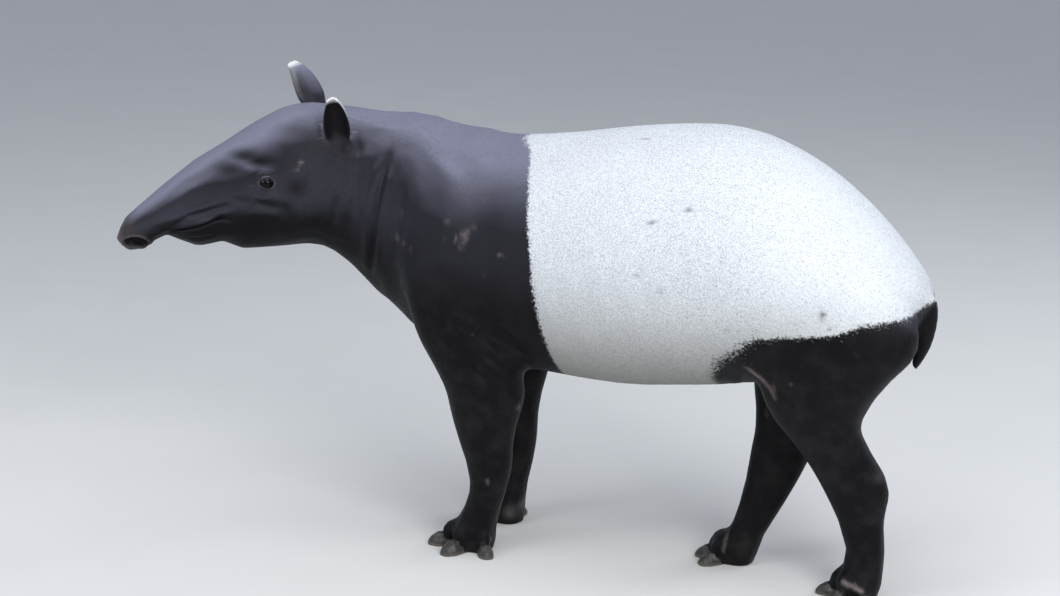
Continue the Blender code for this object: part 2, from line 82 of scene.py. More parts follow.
SKIN_VOXEL = 0.0045
HOOF_VOXEL = 0.0011
HOOF_SHARE = 0.45
HOOF_SOLE = 0.0012
SKIN_TRIANGLES = 188000
MAX_TUFTS_PER_PIECE = 49000
# A tuft's length and width in metres, and how many stand on each square metre, on the body and on the ears.
BODY_TUFT = (0.0074, 0.00085, 100000)
EAR_TUFT = (0.005, 0.0008, 200000)
ROOT_DEPTH = 0.0006
SKIN_FLOOR = 0.0005
COAT_FLOOR = 0.0008

FLESH = [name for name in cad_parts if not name.startswith(("eye", "hoof"))]
EYES = ["eye_left", "eye_right"]
HOOVES = [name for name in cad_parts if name.startswith("hoof")]


def thousandths(value):
    """Divides every number in nested rows by a thousand."""
    if isinstance(value, (list, tuple)):
        return [thousandths(item) for item in value]
    return round(value / 1000, 6)


# The tables below are in millimetres, and strengths in thousandths.
# Grooves on the side of the face: a line in (x, z), its width, its depth and the swell beside it.
FACE_GROOVES = thousandths([
    ([(-1132, 700), (-1119, 703), (-1090, 711), (-1062, 718), (-1041, 725), (-1020, 734), (-998, 739),
      (-980, 738)], 3, 7, 2),
    ([(-1030, 730), (-1006, 738), (-988, 735), (-972, 725)], 8, 8, 1.2),
    ([(-1122, 712), (-1106, 724), (-1075, 744), (-1042, 753), (-1009, 764), (-966, 776)], 6.8, 5, 3),
    ([(-1108, 746), (-1093, 755), (-1072, 765), (-1052, 775), (-1018, 789)], 7, 2.2, 1.8),
    ([(-1110, 752), (-1087, 772), (-1060, 790), (-1015, 806)], 8, 1.5, 1.5),
    ([(-1100, 728), (-1060, 735), (-1010, 752)], 4, 1.8, 1.2),
    ([(-990, 788), (-965, 781), (-938, 776)], 8, 2.2, 1),
    ([(-940, 781), (-915, 773), (-896, 768), (-872, 766)], 9, 3, 1.2),
    ([(-936, 800), (-916, 793), (-894, 794)], 3.5, 1.2, 0.8),
    ([(-956, 816), (-938, 817.5), (-918, 819)], 2.8, 1.8, 0.5),
    ([(-940, 834), (-918, 847), (-896, 846), (-876, 832)], 3.6, 0.9, 0.3),
    ([(-936, 840), (-915, 854), (-892, 852), (-872, 838)], 4, 0.7, 0.3),
    ([(-873, 785), (-866, 760), (-857, 738), (-845, 700)], 12, 3.4, 2),
    ([(-957, 858), (-930, 866), (-902, 864)], 7, 1.6, 0.4),
    ([(-835, 860), (-815, 830), (-800, 800)], 16, 2.6, 1.6),
    ([(-1080, 690), (-1045, 694), (-1010, 700)], 5, 1.8, 1),
])
# Folds behind the ear and the jaw, as points (x, |y|, z) on the skin, width and depth.
NECK_FOLDS = thousandths([
    ([(-685, 66, 940), (-681, 91, 895), (-683, 108, 842), (-688, 113, 786), (-696, 110, 730)], 9.5, 4),
    ([(-592, 94, 909), (-599, 110, 878), (-613, 122, 839), (-625, 130, 802), (-633, 130, 757),
      (-639, 120, 698), (-645, 96, 643), (-652, 60, 600)], 9.5, 9),
    ([(-668, 80, 900), (-660, 112, 840), (-660, 124, 780)], 10, 1.8),
    ([(-735, 110, 800), (-742, 108, 750), (-752, 95, 700)], 10, 3),
    ([(-545, 150, 860), (-556, 168, 790), (-566, 168, 710), (-570, 150, 630)], 14, 3.6),
])
# Hollows of the head, and swells and hollows of the rest, as (x, |y|, z), reach along each, and height. The
# head's hollows also carry painted shade.
HOLLOWS = thousandths([
    ((-952, 60, 877), (34, 60, 14), -4.8),
    ((-920, 73, 862), (26, 50, 12), -3.6),
    ((-985, 45, 850), (35, 60, 20), -3),
    ((-842, 95, 812), (22, 50, 20), -2.2),
])
SWELLS = HOLLOWS + thousandths([
    ((-908, 90, 795), (24, 40, 11), 2.6),
    ((-905, 88, 847), (26, 40, 8), 1),
    ((-960, 78, 800), (26, 40, 12), 2.5),
    ((-930, 90, 752), (50, 40, 12), 3.5),
    ((-1000, 66, 716), (22, 40, 12), -3),
    ((-1048, 48, 697), (30, 30, 12), 3),
    ((-800, 108, 745), (45, 50, 45), 5),
    ((-780, 90, 870), (30, 50, 40), -3),
    ((-1150, 40, 745), (30, 30, 20), 1.5),
    ((250, 215, 470), (30, 60, 40), -7),
    ((290, 240, 500), (30, 60, 50), 5),
    ((-230, 215, 470), (25, 60, 50), -6),
    ((-480, 200, 640), (60, 80, 80), 6),
    ((-300, 235, 720), (30, 60, 140), -4),
])
# The white saddle's front and rear edges on the flanks, in (x, z).
SADDLE_FRONT = thousandths([
    (-291, 1050), (-291, 940), (-263, 929), (-246, 919), (-233, 897), (-219, 861), (-209, 824), (-200, 785),
    (-189, 746), (-181, 706), (-176, 663), (-166, 620), (-157, 570), (-149, 530), (-143, 486), (-140, 380),
])
SADDLE_REAR = thousandths([
    (190, 380), (204, 483), (225, 530), (245, 547), (268, 563), (292, 586), (314, 600), (334, 600),
    (355, 605), (385, 608), (425, 611), (465, 617), (495, 628), (517, 640), (561, 648), (596, 655),
    (617, 657), (640, 660), (700, 662),
])
# Marks, as x, y, z, radius and strength: pale scars on the black, and dark specks on the white.
PALE_MARKS = thousandths([
    (-832, -96, 867, 4, 800), (-836, -97, 860, 3, 600), (-841, -97, 851, 4, 400), (-334, -211, 762, 6, 300),
    (-345, -212, 753, 7, 450), (-350, -215, 742, 8, 750), (-353, -218, 731, 6, 650),
    (-353, -221, 718, 5, 400), (-367, -215, 736, 3, 900), (-395, -212, 735, 2.6, 800),
    (-341, -149, 862, 2.6, 800), (-261, -238, 716, 2.5, 700), (-253, -241, 713, 3, 800),
    (-271, -238, 697, 2.4, 700), (-298, -235, 669, 2.6, 600), (-394, -201, 770, 7, 300),
    (-543, -164, 770, 6, 250), (-556, -164, 714, 7, 400), (-530, -180, 707, 6, 250),
    (-497, -196, 698, 6, 200), (-318, -184, 821, 7, 200), (-237, -154, 357, 4.5, 700),
    (-307, -158, 177, 5, 600), (-345, -150, 240, 5, 300), (384, -227, 503, 2.4, 700),
    (522, -235, 585, 2.4, 600), (348, -210, 481, 4, 400), (268, 59, 351, 5, 500), (563, -119, 294, 12, 200),
    (345, 20, 300, 4, 300), (-333, 65, 32, 15, 400), (-317, 115, 45, 12, 450), (-360, 240, 690, 6, 250),
])
DARK_MARKS = thousandths([
    (64, -286, 714, 3.4, 1000), (70, -285, 725, 2.7, 800), (114, -289, 682, 3.4, 1000),
    (122, -289, 687, 2.7, 920), (119, -289, 674, 2.7, 800), (150, -289, 700, 2.3, 690),
    (447, -245, 662, 6, 980), (446, -245, 649, 4.5, 750), (462, -242, 634, 2.5, 920),
    (252, -268, 614, 2.5, 920), (-185, -134, 911, 2.5, 800), (15, -99, 968, 2.7, 800),
    (46, -92, 975, 2.3, 570), (156, -245, 852, 2.7, 800), (81, -259, 820, 2.5, 800),
    (82, -208, 900, 2.3, 570), (112, -231, 875, 2.3, 570), (-12, -276, 746, 2.4, 690),
    (-7, -278, 741, 2.4, 690), (180, 286, 690, 3.7, 800), (380, 255, 740, 3.7, 690),
])
# Fine light lines, as points on the skin, width and strength: bare skin at flank and fetlocks.
PALE_LINES = thousandths([
    ([(-270, -105, 200), (-274, -103, 170), (-284, -103, 134), (-292, -111, 104),
      (-299, -111, 75)], 3, 450),
    ([(203, 36, 85), (201, 14, 58), (199, 11, 32)], 3, 450),
    ([(497, -112, 50), (509, -113, 44), (521, -110, 42)], 5, 950),
    ([(-300, -121, 30), (-307, -130, 33), (-318, -150, 30)], 4, 600),
])
PINK_LINES = thousandths([
    ([(289, -205, 524), (305, -193, 505), (319, -197, 495), (335, -206, 482), (347, -208, 462)], 5.5, 900),
    ([(525, -110, 37), (537, -109, 34)], 5, 1000),
])


def ramp(low, high, value):
    """A soft step from 0 at low to 1 at high."""
    t = np.clip((value - low) / (high - low), 0.0, 1.0)
    return t * t * (3 - 2 * t)


def fall(low, high, value):
    """A soft step from 1 at low to 0 at high."""
    return 1 - ramp(low, high, value)


def hill(value, centre, width):
    """A bell curve that is 1 at its centre."""
    return np.exp(-((value - centre) / width) ** 2)


def blob(points, centre, reach):
    """A bell curve round a place, with its own reach along x, y and z."""
    return np.exp(-(((points - np.array(centre)) / np.array(reach)) ** 2).sum(axis=1))


def norms(vectors):
    return np.linalg.norm(vectors, axis=1)


def unit(vector):
    return vector / np.linalg.norm(vector)


def one_side(straight):
    """Points with the right side laid over the left."""
    return np.column_stack([straight[:, 0], np.abs(straight[:, 1]), straight[:, 2]])


def turned(points):
    """Points of the straight animal where the turned neck carries them, before SHIFT."""
    points = np.atleast_2d(points)
    ahead = NECK_START - points[:, 0]
    angle = np.clip(ahead * NECK_BEND, 0.0, NECK_TURN)
    beyond = np.maximum(ahead - NECK_LENGTH, 0.0)
    bent_x = NECK_START - np.sin(angle) / NECK_BEND - beyond * math.cos(NECK_TURN)
    line_x = np.where(ahead > 0, bent_x, points[:, 0])
    line_y = -(1 - np.cos(angle)) / NECK_BEND - beyond * math.sin(NECK_TURN)
    return np.column_stack([
        line_x - points[:, 1] * np.sin(angle), line_y + points[:, 1] * np.cos(angle), points[:, 2],
    ])


def values_of(things, key, kind=float, width=3):
    values = np.empty(len(things) * width, kind)
    things.foreach_get(key, values)
    return values.reshape(-1, 3)


def points_of(mesh):
    return values_of(mesh.vertices, "co")


def normals_of(mesh):
    return values_of(mesh.vertices, "normal")


def corners_of(mesh):
    """The vertex numbers of each triangle."""
    return values_of(mesh.loops, "vertex_index", np.int32, 1)


def middle_of(node):
    points = points_of(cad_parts[node].data)
    return (points.min(axis=0) + points.max(axis=0)) / 2


EYE_PLACES = [middle_of(name) for name in EYES]
SHIFT = turned([EYE[0], 0.0, EYE[2]])[0] - (EYE_PLACES[0] + EYE_PLACES[1]) / 2
SHIFT[2] = 0.0


def straightened(points):
    """Points of the row frame, brought back to the straight animal."""
    x, y = points[:, 0] + SHIFT[0], points[:, 1] + SHIFT[1]
    radius = 1 / NECK_BEND
    dx, dy = x - NECK_START, y + radius
    angle = np.clip(np.arctan2(-dx, dy), 0.0, NECK_TURN)
    end_x, end_y = NECK_START - math.sin(NECK_TURN) * radius, -(1 - math.cos(NECK_TURN)) * radius
    beyond = -((x - end_x) * math.cos(NECK_TURN) + (y - end_y) * math.sin(NECK_TURN))
    across = -(x - end_x) * math.sin(NECK_TURN) + (y - end_y) * math.cos(NECK_TURN)
    in_arc = (dx < 0) & (angle < NECK_TURN)
    past = (dx < 0) & (angle >= NECK_TURN) & (beyond > 0)
    out_x, out_y = x.copy(), y.copy()
    out_x[in_arc] = NECK_START - angle[in_arc] / NECK_BEND
    out_y[in_arc] = np.hypot(dx, dy)[in_arc] - radius
    out_x[past] = NECK_START - NECK_LENGTH - beyond[past]
    out_y[past] = across[past]
    return np.column_stack([out_x, out_y, points[:, 2]])


def placed(point):
    """One point of the straight animal, in the row frame."""
    return turned(point)[0] - SHIFT


# Basic mesh work

def put_points(mesh, points):
    mesh.vertices.foreach_set("co", np.asarray(points, float).ravel())
    mesh.update()


def new_object(name, mesh):
    made = bpy.data.objects.new(name, mesh)
    bpy.context.scene.collection.objects.link(made)
    return made


def triangle_mesh(name, points, triangles):
    mesh = bpy.data.meshes.new(name)
    mesh.vertices.add(len(points))
    mesh.vertices.foreach_set("co", points.ravel())
    mesh.loops.add(triangles.size)
    mesh.loops.foreach_set("vertex_index", triangles.ravel().astype(np.int32))
    mesh.polygons.add(len(triangles))
    mesh.polygons.foreach_set("loop_start", np.arange(0, triangles.size, 3, dtype=np.int32))
    mesh.update(calc_edges=True)
    return mesh


def mesh_of(bm, name):
    mesh = bpy.data.meshes.new(name)
    bm.to_mesh(mesh)
    bm.free()
    return mesh


def bake(thing):
    graph = bpy.context.evaluated_depsgraph_get()
    graph.update()
    made = bpy.data.meshes.new_from_object(thing.evaluated_get(graph))
    thing.modifiers.clear()
    thing.data = made


def modify(thing, name, kind, **settings):
    made = thing.modifiers.new(name, kind)
    for key, value in settings.items():
        setattr(made, key, value)


def set_attribute(mesh, name, values):
    made = mesh.attributes.new(name, "FLOAT", "POINT")
    made.data.foreach_set("value", np.asarray(values, np.float32))


def joined_nodes(name, nodes, grow):
    """One mesh of several CAD nodes, each closed up and grown a little so that they overlap."""
    bm = bmesh.new()
    for node in nodes:
        part = bmesh.new()
        part.from_mesh(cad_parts[node].data)
        bmesh.ops.remove_doubles(part, verts=part.verts, dist=1e-5)
        bmesh.ops.recalc_face_normals(part, faces=part.faces)
        part.normal_update()
        for vert in part.verts:
            vert.co += vert.normal * grow
        mesh = mesh_of(part, "part")
        bm.from_mesh(mesh)
        bpy.data.meshes.remove(mesh)
    return new_object(name, mesh_of(bm, name))


def polyline_place(points, line):
    """Distance from each point to a line, and how far along it the nearest place is, from 0 to 1."""
    line = np.asarray(line, float)
    lengths = norms(np.diff(line, axis=0))
    best, place, before = np.full(len(points), 1e9), np.zeros(len(points)), 0.0
    for start, end, length in zip(line, line[1:], lengths):
        along = end - start
        share = np.clip(((points - start) @ along) / (along @ along), 0, 1)
        gap = norms(points - start - share[:, None] * along)
        place = np.where(gap < best, before + share * length, place)
        best = np.minimum(best, gap)
        before += length
    return best, place / before


def polyline_distance(points, line):
    return polyline_place(points, line)[0]


def fold(points, line, width, depth, beside):
    """A soft crease along a line, deepest at its middle, with a swell on both of its sides."""
    distance, place = polyline_place(points, line)
    taper = ramp(-0.05, 0.35, place) * fall(0.65, 1.05, place)
    swell = beside * hill(distance / width, 2.2, 1.2)
    return taper * (swell - depth * hill(distance, 0, width))


# The skin

ZOOM_START = -0.12
ZOOM_END = -0.38
ZOOM_CENTRE = np.array([ZOOM_START, -0.04, 0.72])


def zoomed(points):
    """Doubles the size of the head, so that one voxel size gives it twice the detail."""
    weight = fall(ZOOM_END, ZOOM_START, points[:, 0])
    return points + weight[:, None] * (points - ZOOM_CENTRE)


def unzoomed(points):
    table = np.linspace(-1.2, 1.2, 4801)
    weight = fall(ZOOM_END, ZOOM_START, table)
    x = np.interp(points[:, 0], table + weight * (table - ZOOM_START), table)
    scale = 2 - ramp(ZOOM_END, ZOOM_START, x)
    out = ZOOM_CENTRE + (points - ZOOM_CENTRE) / scale[:, None]
    out[:, 0] = x
    return out


EAR_HALF_WIDTH = 0.035


def ear_frame(base, tip, x, facing):
    """An ear's base, tip, direction across and the way its inside faces, from the straight animal."""
    centre = np.array([x, 0.0, 0.95])
    base, tip = placed(base), placed(tip)
    across = unit(np.cross(tip - base, placed(centre + 0.01 * np.array(facing)) - placed(centre)))
    return base, tip, across, np.cross(across, unit(tip - base))


EARS = [
    ear_frame((-0.728, -0.088, 0.893), (-0.753, -0.128, 1.016), -0.74, (-0.2, -0.96, 0.12)),
    ear_frame((-0.772, 0.07, 0.948), (-0.817, 0.11, 1.066), -0.8, (-0.65, 0.72, 0.1)),
]


def in_ear(points, ear):
    """Places along an ear, as a share of its length, and across and in front of it, in metres."""
    base, tip, across, face = ear
    along, offset = tip - base, points - base
    return (offset @ along) / (along @ along), offset @ across, offset @ face


def ear_share(points):
    """How far each point is along an ear, from 0 at its base to 1 at its tip, or -1 away from the ears."""
    share = np.full(len(points), -1.0)
    for ear in EARS:
        t, side, front = in_ear(points, ear)
        near = (t > 0.12) & (t < 1.2) & (np.abs(side) < EAR_HALF_WIDTH * 1.12)
        near &= (front < 0.024) & (front > -0.031)
        share = np.where(near, np.maximum(share, t), share)
    return share


def on_ear(points):
    """A weight that is 0 on the head and rises to 1 a little way up each ear."""
    return ramp(0.12, 0.34, ear_share(points))


def base_skin():
    """A fine closed skin over all the solids, softened least on ears, eyes and feet."""
    skin = joined_nodes("skin", FLESH + EYES + HOOVES, 0.0005)
    put_points(skin.data, zoomed(points_of(skin.data)))
    modify(skin, "merge", "REMESH", mode="VOXEL", voxel_size=SKIN_VOXEL)
    bake(skin)
    keep_largest(skin)
    points = unzoomed(points_of(skin.data))
    straight = straightened(points)
    x, z = straight[:, 0], straight[:, 2]
    soft = 0.25 + 0.75 * ramp(0.07, 0.28, z)
    soft *= 1 - 0.35 * fall(-1.06, -0.96, x)
    away_from_ears = 1 - on_ear(points)
    soft *= 0.1 + 0.9 * away_from_ears
    soft *= 0.4 + 0.6 * ramp(-1.2, -1.1, x)
    on_tail = ramp(0.585, 0.605, x) * fall(0.62, 0.68, z)
    soft *= 1 - 0.75 * on_tail
    on_trunk = ramp(0.42, 0.54, z) * away_from_ears * ramp(-1.02, -0.92, x) * (1 - on_tail)
    for place in EYE_PLACES:
        from_eye = norms(points - place)
        soft *= 0.12 + 0.88 * ramp(0.016, 0.032, from_eye)
        on_trunk *= ramp(0.022, 0.05, from_eye)
    put_points(skin.data, points)
    for name, weights, rounds in (("soft", soft, 44), ("trunk", on_trunk, 90)):
        weigh(skin, name, weights)
        modify(skin, name, "SMOOTH", factor=0.5, iterations=rounds, vertex_group=name)
    bake(skin)
    return skin


def weigh(thing, name, weights):
    """Writes weights from 0 to 1 to a vertex group, in steps of a twentieth."""
    group = thing.vertex_groups.new(name=name)
    levels = np.round(weights * 20).astype(int)
    for level in range(1, 21):
        members = np.nonzero(levels == level)[0]
        if len(members):
            group.add(members.tolist(), level / 20, "REPLACE")


def keep_largest(thing):
    """Drops any closed bubble that the merging leaves inside."""
    bm = bmesh.new()
    bm.from_mesh(thing.data)
    left, groups = set(bm.verts), []
    while left:
        group, todo = set(), [left.pop()]
        while todo:
            vert = todo.pop()
            group.add(vert)
            around = {edge.other_vert(vert) for edge in vert.link_edges} & left
            left -= around
            todo.extend(around)
        groups.append(group)
    if len(groups) > 1:
        largest = max(groups, key=len)
        bmesh.ops.delete(bm, geom=[v for v in bm.verts if v not in largest], context="VERTS")
        bm.to_mesh(thing.data)
    bm.free()


def refine(skin):
    """Splits the faces around eyes, nostrils and mouth."""
    rounds = [(0.036, 0.04, 0.014), (0.026, 0.0, 0.0)]
    for eye_reach, nostril_reach, mouth_reach in rounds:
        bm = bmesh.new()
        bm.from_mesh(skin.data)
        centres = np.array([face.calc_center_median() for face in bm.faces])
        mirrored = one_side(straightened(centres))
        chosen = norms(mirrored - EYE) < eye_reach
        chosen |= norms(mirrored - NOSTRIL) < nostril_reach
        mouth = polyline_distance(mirrored[:, [0, 2]], FACE_GROOVES[0][0])
        chosen |= (mouth < mouth_reach) & (mirrored[:, 1] > 0.02)
        bm.faces.ensure_lookup_table()
        edges = {edge for index in np.nonzero(chosen)[0] for edge in bm.faces[index].edges}
        edges = sorted(edges, key=lambda edge: edge.index)
        bmesh.ops.subdivide_edges(bm, edges=edges, cuts=1, use_grid_fill=True)
        bm.to_mesh(skin.data)
        bm.free()


def coat_depth(points, straight):
    """How far the skin lies inside the solids."""
    x, z = straight[:, 0], straight[:, 2]
    depth = 0.0022 - 0.0012 * fall(-0.9, -0.7, x)
    depth -= 0.0008 * fall(0.08, 0.3, z)
    depth += (0.0008 - depth) * on_ear(points)
    return depth * ramp(0.0, 0.012, z)


def lid_opening(straight):
    """Below 1 inside the opening between the lids, in (x, z) about the eye. It is pointed in front."""
    x, _, z = (straight - EYE).T
    ahead, up = x / LID_HALF_LENGTH, z / LID_HALF_HEIGHT
    reach = np.where(ahead < 0, np.abs(ahead / 1.12) ** 1.5, np.abs(ahead) ** 2)
    up = np.where(up > 0, up, up * 1.08)
    return np.sqrt(reach + up**2)


def nostril_opening(straight):
    x, _, z = (straight - NOSTRIL).T
    along = x / NOSTRIL_HALF[0]
    up = (z + 0.1 * x) / NOSTRIL_HALF[1] + 0.3 * along**2 - 0.15
    opening = np.sqrt(along**2 + up**2)
    return np.where(np.abs(straight[:, 1]) > 0.006, opening, 9.0)


def sculpt(skin):
    """Shrinks the skin by the coat's depth and models the face, folds and muscles."""
    points, normals = points_of(skin.data), normals_of(skin.data)
    straight = straightened(points)
    mirrored = one_side(straight)
    lift = -coat_depth(points, straight)
    away_from_ears = 1 - on_ear(points)
    for centre, reach, height in SWELLS:
        lift += height * blob(mirrored, centre, reach) * away_from_ears
    on_side = ramp(0.018, 0.034, mirrored[:, 1]) * (mirrored[:, 0] < -0.82)
    for line, width, depth, beside in FACE_GROOVES:
        lift += on_side * fold(mirrored[:, [0, 2]], line, width, depth, beside)
    for line, width, depth in NECK_FOLDS:
        lift += away_from_ears * fold(mirrored, line, width, depth, 0.4 * depth)
    lift += wrinkles(straight, mirrored)
    near_nostril = nostril_opening(straight)
    at_nose = straight[:, 0] < NOSE_X
    hollow = np.clip(1 - near_nostril**3, 0, 1) ** 0.5
    rim = hill(near_nostril, 1.28, 0.22)
    lift += at_nose * (0.0022 * rim - NOSTRIL_DEPTH * hollow)
    points = points + normals * lift[:, None]
    shape_lids(points, straight)
    put_points(skin.data, points)


def wrinkles(straight, mirrored):
    """Fine rings round the trunk of the nose and waves of slack skin on neck, armpits and flanks."""
    x, y, z = straight.T
    on_nose = fall(-1.12, -1.02, x) * ramp(-1.222, -1.19, x)
    rings = np.sin((x + 0.55 * z) * 330 + 1.4 * np.sin(z * 60 + y * 45)) * 0.5 + 0.5
    lift = -0.0001 * on_nose * rings**3 * ramp(0.7, 0.74, z)
    on_neck = ramp(-0.72, -0.62, x) * fall(-0.55, -0.42, x)
    on_neck *= fall(0.84, 0.93, z)
    lift += 0.0005 * on_neck * np.sin(x * 105 + 6 * np.sin(z * 8) + y * 6) * np.sin(z * 17 + x * 21)
    armpit = blob(mirrored, (-0.27, 0.19, 0.5), (0.05, 0.1, 0.09))
    lift += 0.0012 * armpit * np.sin((x * 0.8 + z) * 200)
    flank = blob(mirrored, (0.24, 0.2, 0.46), (0.05, 0.1, 0.06))
    lift += 0.0014 * flank * np.sin((x - z * 0.5) * 190)
    ribs = ramp(-0.2, -0.12, x) * fall(0.08, 0.16, x) * hill(z, 0.66, 0.13)
    return lift + 0.0008 * ribs * np.sin((x + 0.25 * z) * 95)


def shape_lids(points, straight):
    """Lays the skin round each eye over the eyeball as a lid, and opens it between the lids."""
    opening = lid_opening(straight)
    lid = EYE_RADIUS + LID_THICKNESS
    inside = EYE_RADIUS - LID_DEPTH
    for place, side in zip(EYE_PLACES, (-1, 1)):
        offset = points - place
        distance = norms(offset)
        near = (distance < EYE_RADIUS * 1.75) & (straight[:, 1] * side > EYE[1] - 0.004)
        covered = np.maximum(distance, lid + 0.0004 * hill(opening, 1.15, 0.15))
        edge = ramp(0.94, 1.06, opening)
        target = np.where(opening < 1.06, inside + (lid - inside) * edge, covered)
        scale = np.where(near, target / np.maximum(distance, 1e-6), 1.0)
        points[near] = place + offset[near] * scale[near, None]


def thin_out(skin):
    """Brings the skin down to its number of triangles, where it is flattest."""
    modify(skin, "triangles", "TRIANGULATE", keep_custom_normals=False)
    bake(skin)
    share = SKIN_TRIANGLES / len(skin.data.polygons)
    if share < 1:
        modify(skin, "thin_out", "DECIMATE", ratio=share)
        bake(skin)


# Markings and painted light

def inside_polygon(points, polygon):
    """True for each point inside a closed outline."""
    polygon = np.asarray(polygon, float)
    inside = np.zeros(len(points), bool)
    x, y = points.T
    for (x1, y1), (x2, y2) in zip(polygon, np.roll(polygon, -1, axis=0)):
        crosses = (y1 > y) != (y2 > y)
        height = y2 - y1 if y2 != y1 else 1e-12
        inside ^= crosses & (x < (x2 - x1) * (y - y1) / height + x1)
    return inside


def saddle_distance(straight):
    """Metres inside the white saddle, and less than 0 outside it."""
    flat = straight[:, [0, 2]]
    outline = SADDLE_FRONT + SADDLE_REAR + [(0.8, 0.662), (0.8, 1.05)]
    distance = np.minimum(polyline_distance(flat, SADDLE_FRONT), polyline_distance(flat, SADDLE_REAR))
    return np.where(inside_polygon(flat, outline), distance, -distance)


def spot_strength(straight, spots):
    strength = np.zeros(len(straight))
    for *centre, radius, amount in spots:
        gap = norms((straight - np.array(centre)) / np.array([1, 3, 1]))
        strength = np.maximum(strength, amount * hill(gap, 0, radius))
    return strength


def line_strength(straight, lines):
    strength = np.zeros(len(straight))
    for line, width, amount in lines:
        gap = polyline_distance(straight, line)
        strength = np.maximum(strength, amount * hill(gap, 0, width))
    return strength


def painted_sky_sheen(upward, x, height):
    """Painted sky sheen: how far a place faces the sky, where the black coat is painted grey-blue, with a
    little painted light on the head's sides.
    """
    painted_sheen = 1.25 * ramp(-0.1, 0.95, upward) ** 2.9 * ramp(0.15, 0.75, height)
    side = ramp(0.55, 0.82, height) * ramp(-0.6, 0.0, upward) * fall(-0.3, 0.2, x)
    side = side * (1 - 0.5 * ramp(0.0, 0.4, upward)) * (1.7 - 0.7 * ramp(-1.12, -0.96, x))
    return np.maximum(painted_sheen, 0.15 * side)


def markings_and_painted_light(points, normals):
    """The coat's colour patterns and painted light at points of the row frame, as a dict of arrays. Skin and
    coat share them.
    """
    straight = straightened(points)
    x, y, z = straight.T
    fray = 1 + 2.2 * blob(straight[:, [0, 2]], (0.26, 0.54), 0.07)
    mirrored = one_side(straight)
    opening = lid_opening(straight)
    at_eye = norms(mirrored - EYE) < EYE_PATCH
    nose = fall(-1.215, -1.15, x + 0.35 * (z - 0.69))
    rim = hill(nostril_opening(straight), 1.18, 0.22) * (x < NOSE_X)
    tip = hill(x, -1.228, 0.009)
    ears = ear_share(points)
    above = z - axis_height(x)
    on_head = fall(-0.92, -0.82, x) * (ears < 0)
    # Painted shade in the head's hollows, which dims the painted sky sheen there.
    shade = np.zeros(len(points))
    for centre, reach, _ in HOLLOWS:
        shade = np.maximum(shade, blob(mirrored, centre, reach))
    upward = normals[:, 2] + 0.5 * on_head * (above / np.hypot(y, above) - normals[:, 2])
    return {
        "saddle": saddle_distance(straight) / fray,
        # This entry is painted sky sheen on upward faces, dimmed by painted shade in the head's hollows.
        "painted_sheen": painted_sky_sheen(upward, x, z) * (1 - 0.8 * shade),
        # Rises towards the bottom: it carries painted shade under the belly and the dust on the legs.
        "low": fall(0.41, 0.76, z),
        "pale": np.maximum(spot_strength(straight, PALE_MARKS), line_strength(straight, PALE_LINES)),
        "dark": spot_strength(straight, DARK_MARKS),
        "bare": np.clip(nose + 0.3 * hill(opening, 1.1, 0.2) * at_eye, 0, 1),
        "pink": np.clip(
            0.18 * rim + 0.35 * tip + 0.26 * hill(opening, 1.08, 0.045) * at_eye
            + line_strength(straight, PINK_LINES), 0, 1,
        ),
        "rim": ear_rim(points, ears),
        # The hollow entry is painted shade inside nostrils, mouth and ears.
        "hollow": hollows(points, normals, straight, ears),
    }


def ear_rim(points, ears):
    """The white tip and edges of each ear, which are stronger on the near one."""
    rim = np.zeros(len(points))
    for ear, edges in zip(EARS, ((0.45, 0.9), (0.15, 0.15))):
        base, tip = ear[:2]
        share, side, _ = in_ear(points, ear)
        share = np.clip(share, 0, 1)
        half = EAR_HALF_WIDTH * np.sin(np.pi * (0.12 + 0.8 * share)) ** 0.62
        wrap = np.radians(95 - 50 * np.minimum(1.0, share * 1.2))
        radius = half / np.sin(np.minimum(wrap, math.pi / 2))
        from_edge = (wrap - np.arcsin(np.clip(np.abs(side) / radius, 0, 1))) * radius
        near = (ears > 0) & (norms(points - (base + tip) / 2) < EAR_REACH)
        at_edge = fall(0.007, 0.013, from_edge)
        at_edge = at_edge * ramp(0.1, 0.8, share) * np.where(side > 0, edges[1], edges[0])
        at_tip = ramp(0.86, 0.97, share + 0.4 * np.abs(side))
        rim = np.where(near, np.maximum(rim, np.maximum(at_edge, at_tip)), rim)
    return rim


def hollows(points, normals, straight, ears):
    """Painted shade in recesses: the inside of nostrils, the line of the mouth and the inside of the ears."""
    dark = np.clip(1.15 - nostril_opening(straight), 0, 1) * 3 * (straight[:, 0] < NOSE_X)
    mouth = polyline_distance(straight[:, [0, 2]], FACE_GROOVES[0][0])
    dark = np.maximum(dark, hill(mouth, 0, 0.004) * (np.abs(straight[:, 1]) > 0.02))
    for base, tip, across, face in EARS:
        near = (ears > 0) & (norms(points - (base + tip) / 2) < EAR_REACH)
        inside = 0.9 * ramp(0.0, 0.3, normals @ face)
        inside = inside * ramp(0.12, 0.22, ears)
        opening = base + 0.11 * (tip - base) + 0.012 * face
        dark = np.maximum(dark, np.exp(-(norms(points - opening) / 0.021) ** 4))
        inside = inside * fall(0.7, 1.0, np.abs((points - base) @ across) / (0.019 + 0.05 * ears))
        dark = np.where(near, np.maximum(dark, inside), dark)
    return np.clip(dark, 0, 1)


# The unwrap of the skin that colours are baked to

# The body's middle line in (x, z).
BODY_AXIS = thousandths([
    (-1230, 700), (-1100, 745), (-900, 805), (-700, 800), (-450, 700), (100, 700), (640, 660),
])
LEG_TOP = 0.37
HIND_NEAR_X = 0.505
# The height of the body's share of the unwrap, the width of each leg's, and the size of a tuft's patch.
BODY_SPAN = 0.64
LEG_SPAN = 0.17
PATCH = 0.003


def axis_height(x):
    return np.interp(x, *zip(*BODY_AXIS))


